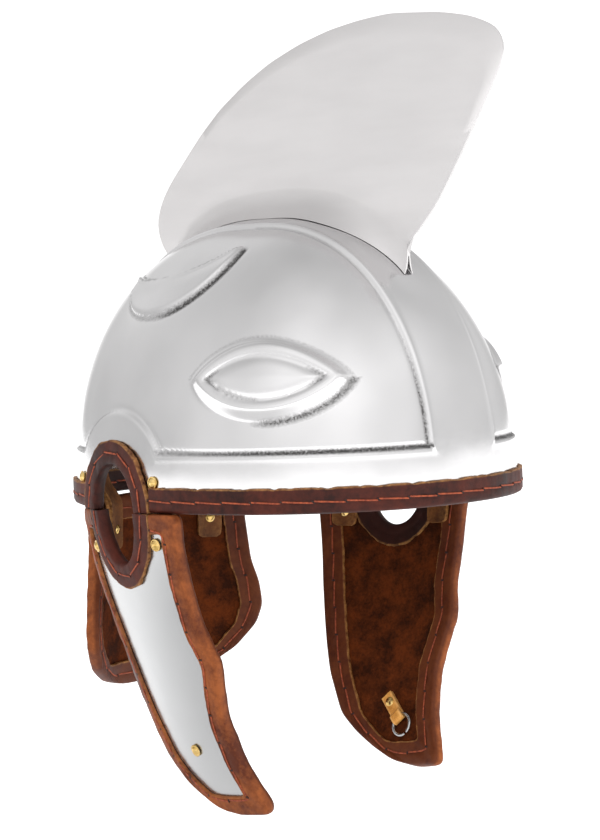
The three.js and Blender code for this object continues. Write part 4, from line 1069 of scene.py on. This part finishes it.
def at_height(bearing, z, grow):
    """The bowl's point at a plan bearing and a height."""
    way = np.array([math.cos(bearing), math.sin(bearing), 0])

    def inside(reach):
        return dome_share(reach * way + [0, 0, max(z, 0)], grow) < 1

    return bisected(1.0, 400.0, 40, inside) * way + [0, 0, z]


def bearing_at(y):
    """The plan bearing at which the bowl's rim comes to a y."""
    return bisected(-math.pi / 2, math.pi / 2, 40, lambda bearing: at_height(bearing, 0, 0)[1] < y)


def bowl_stud(bearing, mirror):
    seat = at_height(bearing, STUD_HEIGHT, BAND_RISE + GAP)
    tangent = at_height(bearing + 0.02, STUD_HEIGHT, 0) - at_height(bearing - 0.02, STUD_HEIGHT, 0)
    inward = np.array([-tangent[1], tangent[0], 0]) / np.linalg.norm(tangent)
    inward *= -np.sign(inward @ seat)
    grip = BAND_RISE + GAP + STRAP_FACE + STRAP + FACET_GAP
    return seat * [mirror, 1, 1], inward * [mirror, 1, 1], grip


def sheet_stud(place, along, down, grip):
    seat = place(np.array(along), np.array(down), PLATE_FACE - STUD_LIFT)
    deep = place(np.array(along), np.array(down), PLATE_FACE - STUD_LIFT + grip)
    inward = deep - seat
    return seat, inward / np.linalg.norm(inward), grip


def lathed_stud():
    """A rivet in millimetres, lathed by spin about Z, with its head up."""
    bpy.ops.object.select_all(action="DESELECT")
    bpy.ops.mesh.primitive_plane_add(size=1)
    stud = bpy.context.object
    stud.name = "stud"
    edited(stud, (bpy.ops.mesh.merge, {"type": "CENTER"}))
    bpy.ops.object.mode_set(mode="EDIT")
    for high, low in zip(STUD_SECTION, STUD_SECTION[1:]):
        step = (low[0] - high[0], 0, low[1] - high[1])
        bpy.ops.mesh.extrude_region_move(TRANSFORM_OT_translate={"value": step})
    bpy.ops.mesh.select_all(action="SELECT")
    bpy.ops.transform.translate(value=(STUD_SECTION[0][0], 0, STUD_SECTION[0][1]))
    bpy.ops.mesh.spin(steps=24, angle=2 * math.pi, center=(0, 0, 0), axis=(0, 0, 1))
    bpy.ops.object.mode_set(mode="OBJECT")
    edited(stud, (bpy.ops.mesh.remove_doubles, {"threshold": 0.001}),
           (bpy.ops.mesh.normals_make_consistent, {"inside": False}))
    bpy.ops.object.shade_smooth_by_angle(angle=math.radians(50))
    return stud


def make_stud(node, seat, inward, grip):
    """A copy of the rivet with its head on a seat and its back a grip below."""
    stud = copied(stud_model)
    stud.name = f"{node}_brass"
    spots = points_of(stud)
    spots[:, 2] -= np.where(spots[:, 2] < -0.5, grip - STUD_SINK - 1, 0)
    up = -inward
    beside = np.cross([0, 0, 1.0], up)
    beside /= np.linalg.norm(beside)
    ahead = np.cross(up, beside)
    laid = seat + spots[:, :1] * beside + spots[:, 1:2] * ahead + spots[:, 2:] * up
    set_points(stud, laid * MM)
    dress(stud, brass, node)


def make_strap(node, bearing, turn, mirror, place, hinge):
    half = STRAP_WIDTH / 2
    spread = half / np.linalg.norm(at_height(bearing, 0, 0))
    seat = GUARD_STACK + FACET_GAP

    def bowl_row(z, width, depth):
        row = [at_height(bearing + turn * side * width * spread, z, -depth) for side in (-1, 0, 1)]
        return np.array(row) * [mirror, 1, 1]

    def guard_row(down, width, depth):
        along = hinge["along"] + np.array([-half, 0, half]) * width
        return place(along, np.full(3, float(down)), np.full(3, seat + depth))

    def rows(depth):
        joint = [bowl_row(EAR_Z - 1.5, 1, STRAP_FACE + depth), guard_row(1, 1, depth)]
        joint.sort(key=lambda row: np.hypot(*row.mean(axis=0)[:2]))
        return np.array([
            bowl_row(STRAP_TOP, 0.6, STRAP_FACE + depth),
            bowl_row(STRAP_TOP - 1, 0.9, STRAP_FACE + depth),
            bowl_row(STRAP_TOP - 3, 1, STRAP_FACE + depth),
            bowl_row(-STRAP_WIDTH / 3, 1, STRAP_FACE + depth),
            joint[0],
            guard_row(9, 1, depth),
            guard_row(STRAP_DROP - 3, 1, depth),
            guard_row(STRAP_DROP - 1, 0.9, depth),
            guard_row(STRAP_DROP, 0.6, depth),
        ])

    def finer(lines):
        count = len(lines)
        where = np.linspace(0, count - 1, STRAP_STATIONS)
        fine = read_between(where, np.arange(count), lines.reshape(count, -1))
        return softened(fine, 1.6).reshape(STRAP_STATIONS, -1, 3)

    outer, inner = finer(rows(0.15)), finer(rows(STRAP - 0.15))
    face, under = finer(rows(0.0)), finer(rows(STRAP))

    def near_edge(rows, side):
        return rows[:, side] * 0.92 + rows[:, 1] * 0.08

    ring = [outer[:, 0], near_edge(face, 0), face[:, 1], near_edge(face, 2), outer[:, 2],
            inner[:, 2], near_edge(under, 2), under[:, 1], near_edge(under, 0), inner[:, 0]]
    cut = np.array([1, 0.3, 0, 0.3, 1, 1, 0.3, 0, 0.3, 1])
    strap = lofted(f"{node}_leather", np.stack(ring, axis=1), cut=cut[None, :])
    dress(strap, tan_leather, node)


brass, brass_shader, add, join = make_material("brass", (0.8, 0.56, 0.2), 0.24, 1.0)
tarnish = ramp(add, object_noise(add, 260, 4), [(0.35, (0.56, 0.36, 0.1)), (0.6, (0.86, 0.62, 0.25))])
join(tarnish, brass_shader.inputs["Base Color"])
tan_leather = leather("tan_leather", TAN_DARK, TAN_LIGHT, CUT_LEATHER, patch=60)
stud_model = lathed_stud()
strap_grip = STUD_LIFT + GUARD_STACK + STRAP + 2 * FACET_GAP - PLATE_FACE


def hang(name, short, place, hinge, bearing, turn, mirror):
    """One hinge of a guard: its rivet in the bowl, its rivet in the guard and its strap."""
    end = hinge["end"]
    make_stud(f"bowl_stud_{short}_{end}", *bowl_stud(bearing, mirror))
    make_stud(f"{name}_stud_{end}", *sheet_stud(place, hinge["along"], hinge["down"], strap_grip))
    make_strap(f"{name}_strap_{end}", bearing, turn, mirror, place, hinge)


for hinge in NECK_HINGES:
    bearing = math.pi / 2 - hinge["along"] / NECK_REACH
    hang("neck_guard", "neck", neck_place, hinge, bearing, -1, 1)
for cheek in CHEEKS:
    name = f"{cheek['name']}_cheek"
    for hinge in HINGES:
        bearing = bearing_at(hinge["bowl_y"])
        hang(name, cheek["name"], guard_places[name], hinge, bearing, 1, cheek["mirror"])

# Ring tabs: on each cheek guard's inside a golden strip of leather is folded round a steel ring
# and riveted through the guard. The ring is bent from wire, its ends not quite meeting.
TAB_ALONG, TAB_DOWN, TAB_TURN, TAB_LENGTH, TAB_SLOT, TAB_END = -0.113, 0.785, 40.0, 14.0, 2.4, 5.0
TAB_WIDTH, TAB_LEATHER, RING_RADIUS, RING_WIRE, RING_GAP = 7.0, 1.2, 5.9, 0.9, math.pi * 0.035


def make_ring_tab(name, place):
    along, down, turn = TAB_ALONG * GUARD_WIDTH, TAB_DOWN * GUARD_LENGTH, math.radians(TAB_TURN)

    def tab_frame(u, v, w):
        s = along - u * math.sin(turn) + v * math.cos(turn)
        d = down + u * math.cos(turn) + v * math.sin(turn)
        return place(s, d, LINING_FACE + LINING + FACET_GAP + w)

    grip = STUD_LIFT + PLATE + GAP + LINING + 2 * FACET_GAP + 2 * TAB_LEATHER
    make_stud(f"{name}_stud_low", *sheet_stud(place, along, down, grip))
    slot_half = RING_WIRE + 0.05
    fold = slot_half + TAB_LEATHER
    slot_start = TAB_LENGTH - fold - TAB_SLOT
    arc = np.radians(np.linspace(-90, 90, 9))
    centre = TAB_LENGTH - fold
    # Its section as distance along and height over the lining, the two flaps all but touching
    low_flap, high_flap = TAB_LEATHER * 0.97, TAB_LEATHER * 1.03
    outer = [(-TAB_END, 0), (0, 0), (slot_start, 0)]
    outer += [(centre + fold * math.cos(a), fold + fold * math.sin(a)) for a in arc]
    outer += [(slot_start - 0.5, 2 * fold), (slot_start - 0.5 - fold, 2 * TAB_LEATHER)]
    outer.append((-TAB_END, 2 * TAB_LEATHER))
    inner = [(-TAB_END, low_flap), (slot_start - fold, low_flap), (slot_start, TAB_LEATHER)]
    inner += [(centre + slot_half * math.cos(a), fold + slot_half * math.sin(a)) for a in arc]
    inner += [(slot_start, fold + slot_half), (slot_start - fold, high_flap), (-TAB_END, high_flap)]
    loop = np.array([*outer, *reversed(inner)])
    across = np.array([-1, -0.97, -0.6, -0.2, 0.2, 0.6, 0.97, 1]) * TAB_WIDTH / 2
    middle = loop.mean(axis=0)
    rings = []
    for v in across:
        narrowed = 0.25 * smooth_step((abs(v) - TAB_WIDTH * 0.48) / (TAB_WIDTH * 0.02))
        u = loop[:, 0] + (middle[0] - loop[:, 0]) * narrowed * 0.05
        rings.append(tab_frame(u, np.full(len(loop), v), loop[:, 1]))
    end = np.array([abs(v) > TAB_WIDTH * 0.47 for v in across])[:, None] * np.ones(len(loop))[None, :]
    tab = lofted(f"{name}_ring_tab_leather", np.array(rings), cut=end * 0.8)
    dress(tab, golden_leather, f"{name}_ring_tab")

    around = np.linspace(RING_GAP, 2 * math.pi - RING_GAP, 49)
    spin = np.arange(10) / 10 * 2 * math.pi
    rings = []
    for turned in around:
        radius = RING_RADIUS + RING_WIRE * np.cos(spin)
        u = slot_start + slot_half + RING_RADIUS + radius * math.cos(turned)
        rings.append(tab_frame(u, radius * math.sin(turned), fold + RING_WIRE * np.sin(spin)))
    ring = lofted(f"{name}_ring_wire", np.array(rings), smooth=50)
    dress(ring, ring_steel, f"{name}_ring")


GOLDEN_DARK, GOLDEN_LIGHT, GOLDEN_CUT = (0.5, 0.2, 0.035), (0.8, 0.4, 0.1), (0.85, 0.5, 0.2)
golden_leather = leather("golden_leather", GOLDEN_DARK, GOLDEN_LIGHT, GOLDEN_CUT, patch=90)
ring_steel = polished_steel("ring_steel", (0.5, 0.5, 0.5), 0.16, 0.22, with_shade_and_stain=False)
for name, place in guard_places.items():
    make_ring_tab(name, place)

bpy.ops.object.select_all(action="DESELECT")
stud_model.select_set(True)
bpy.ops.object.delete()
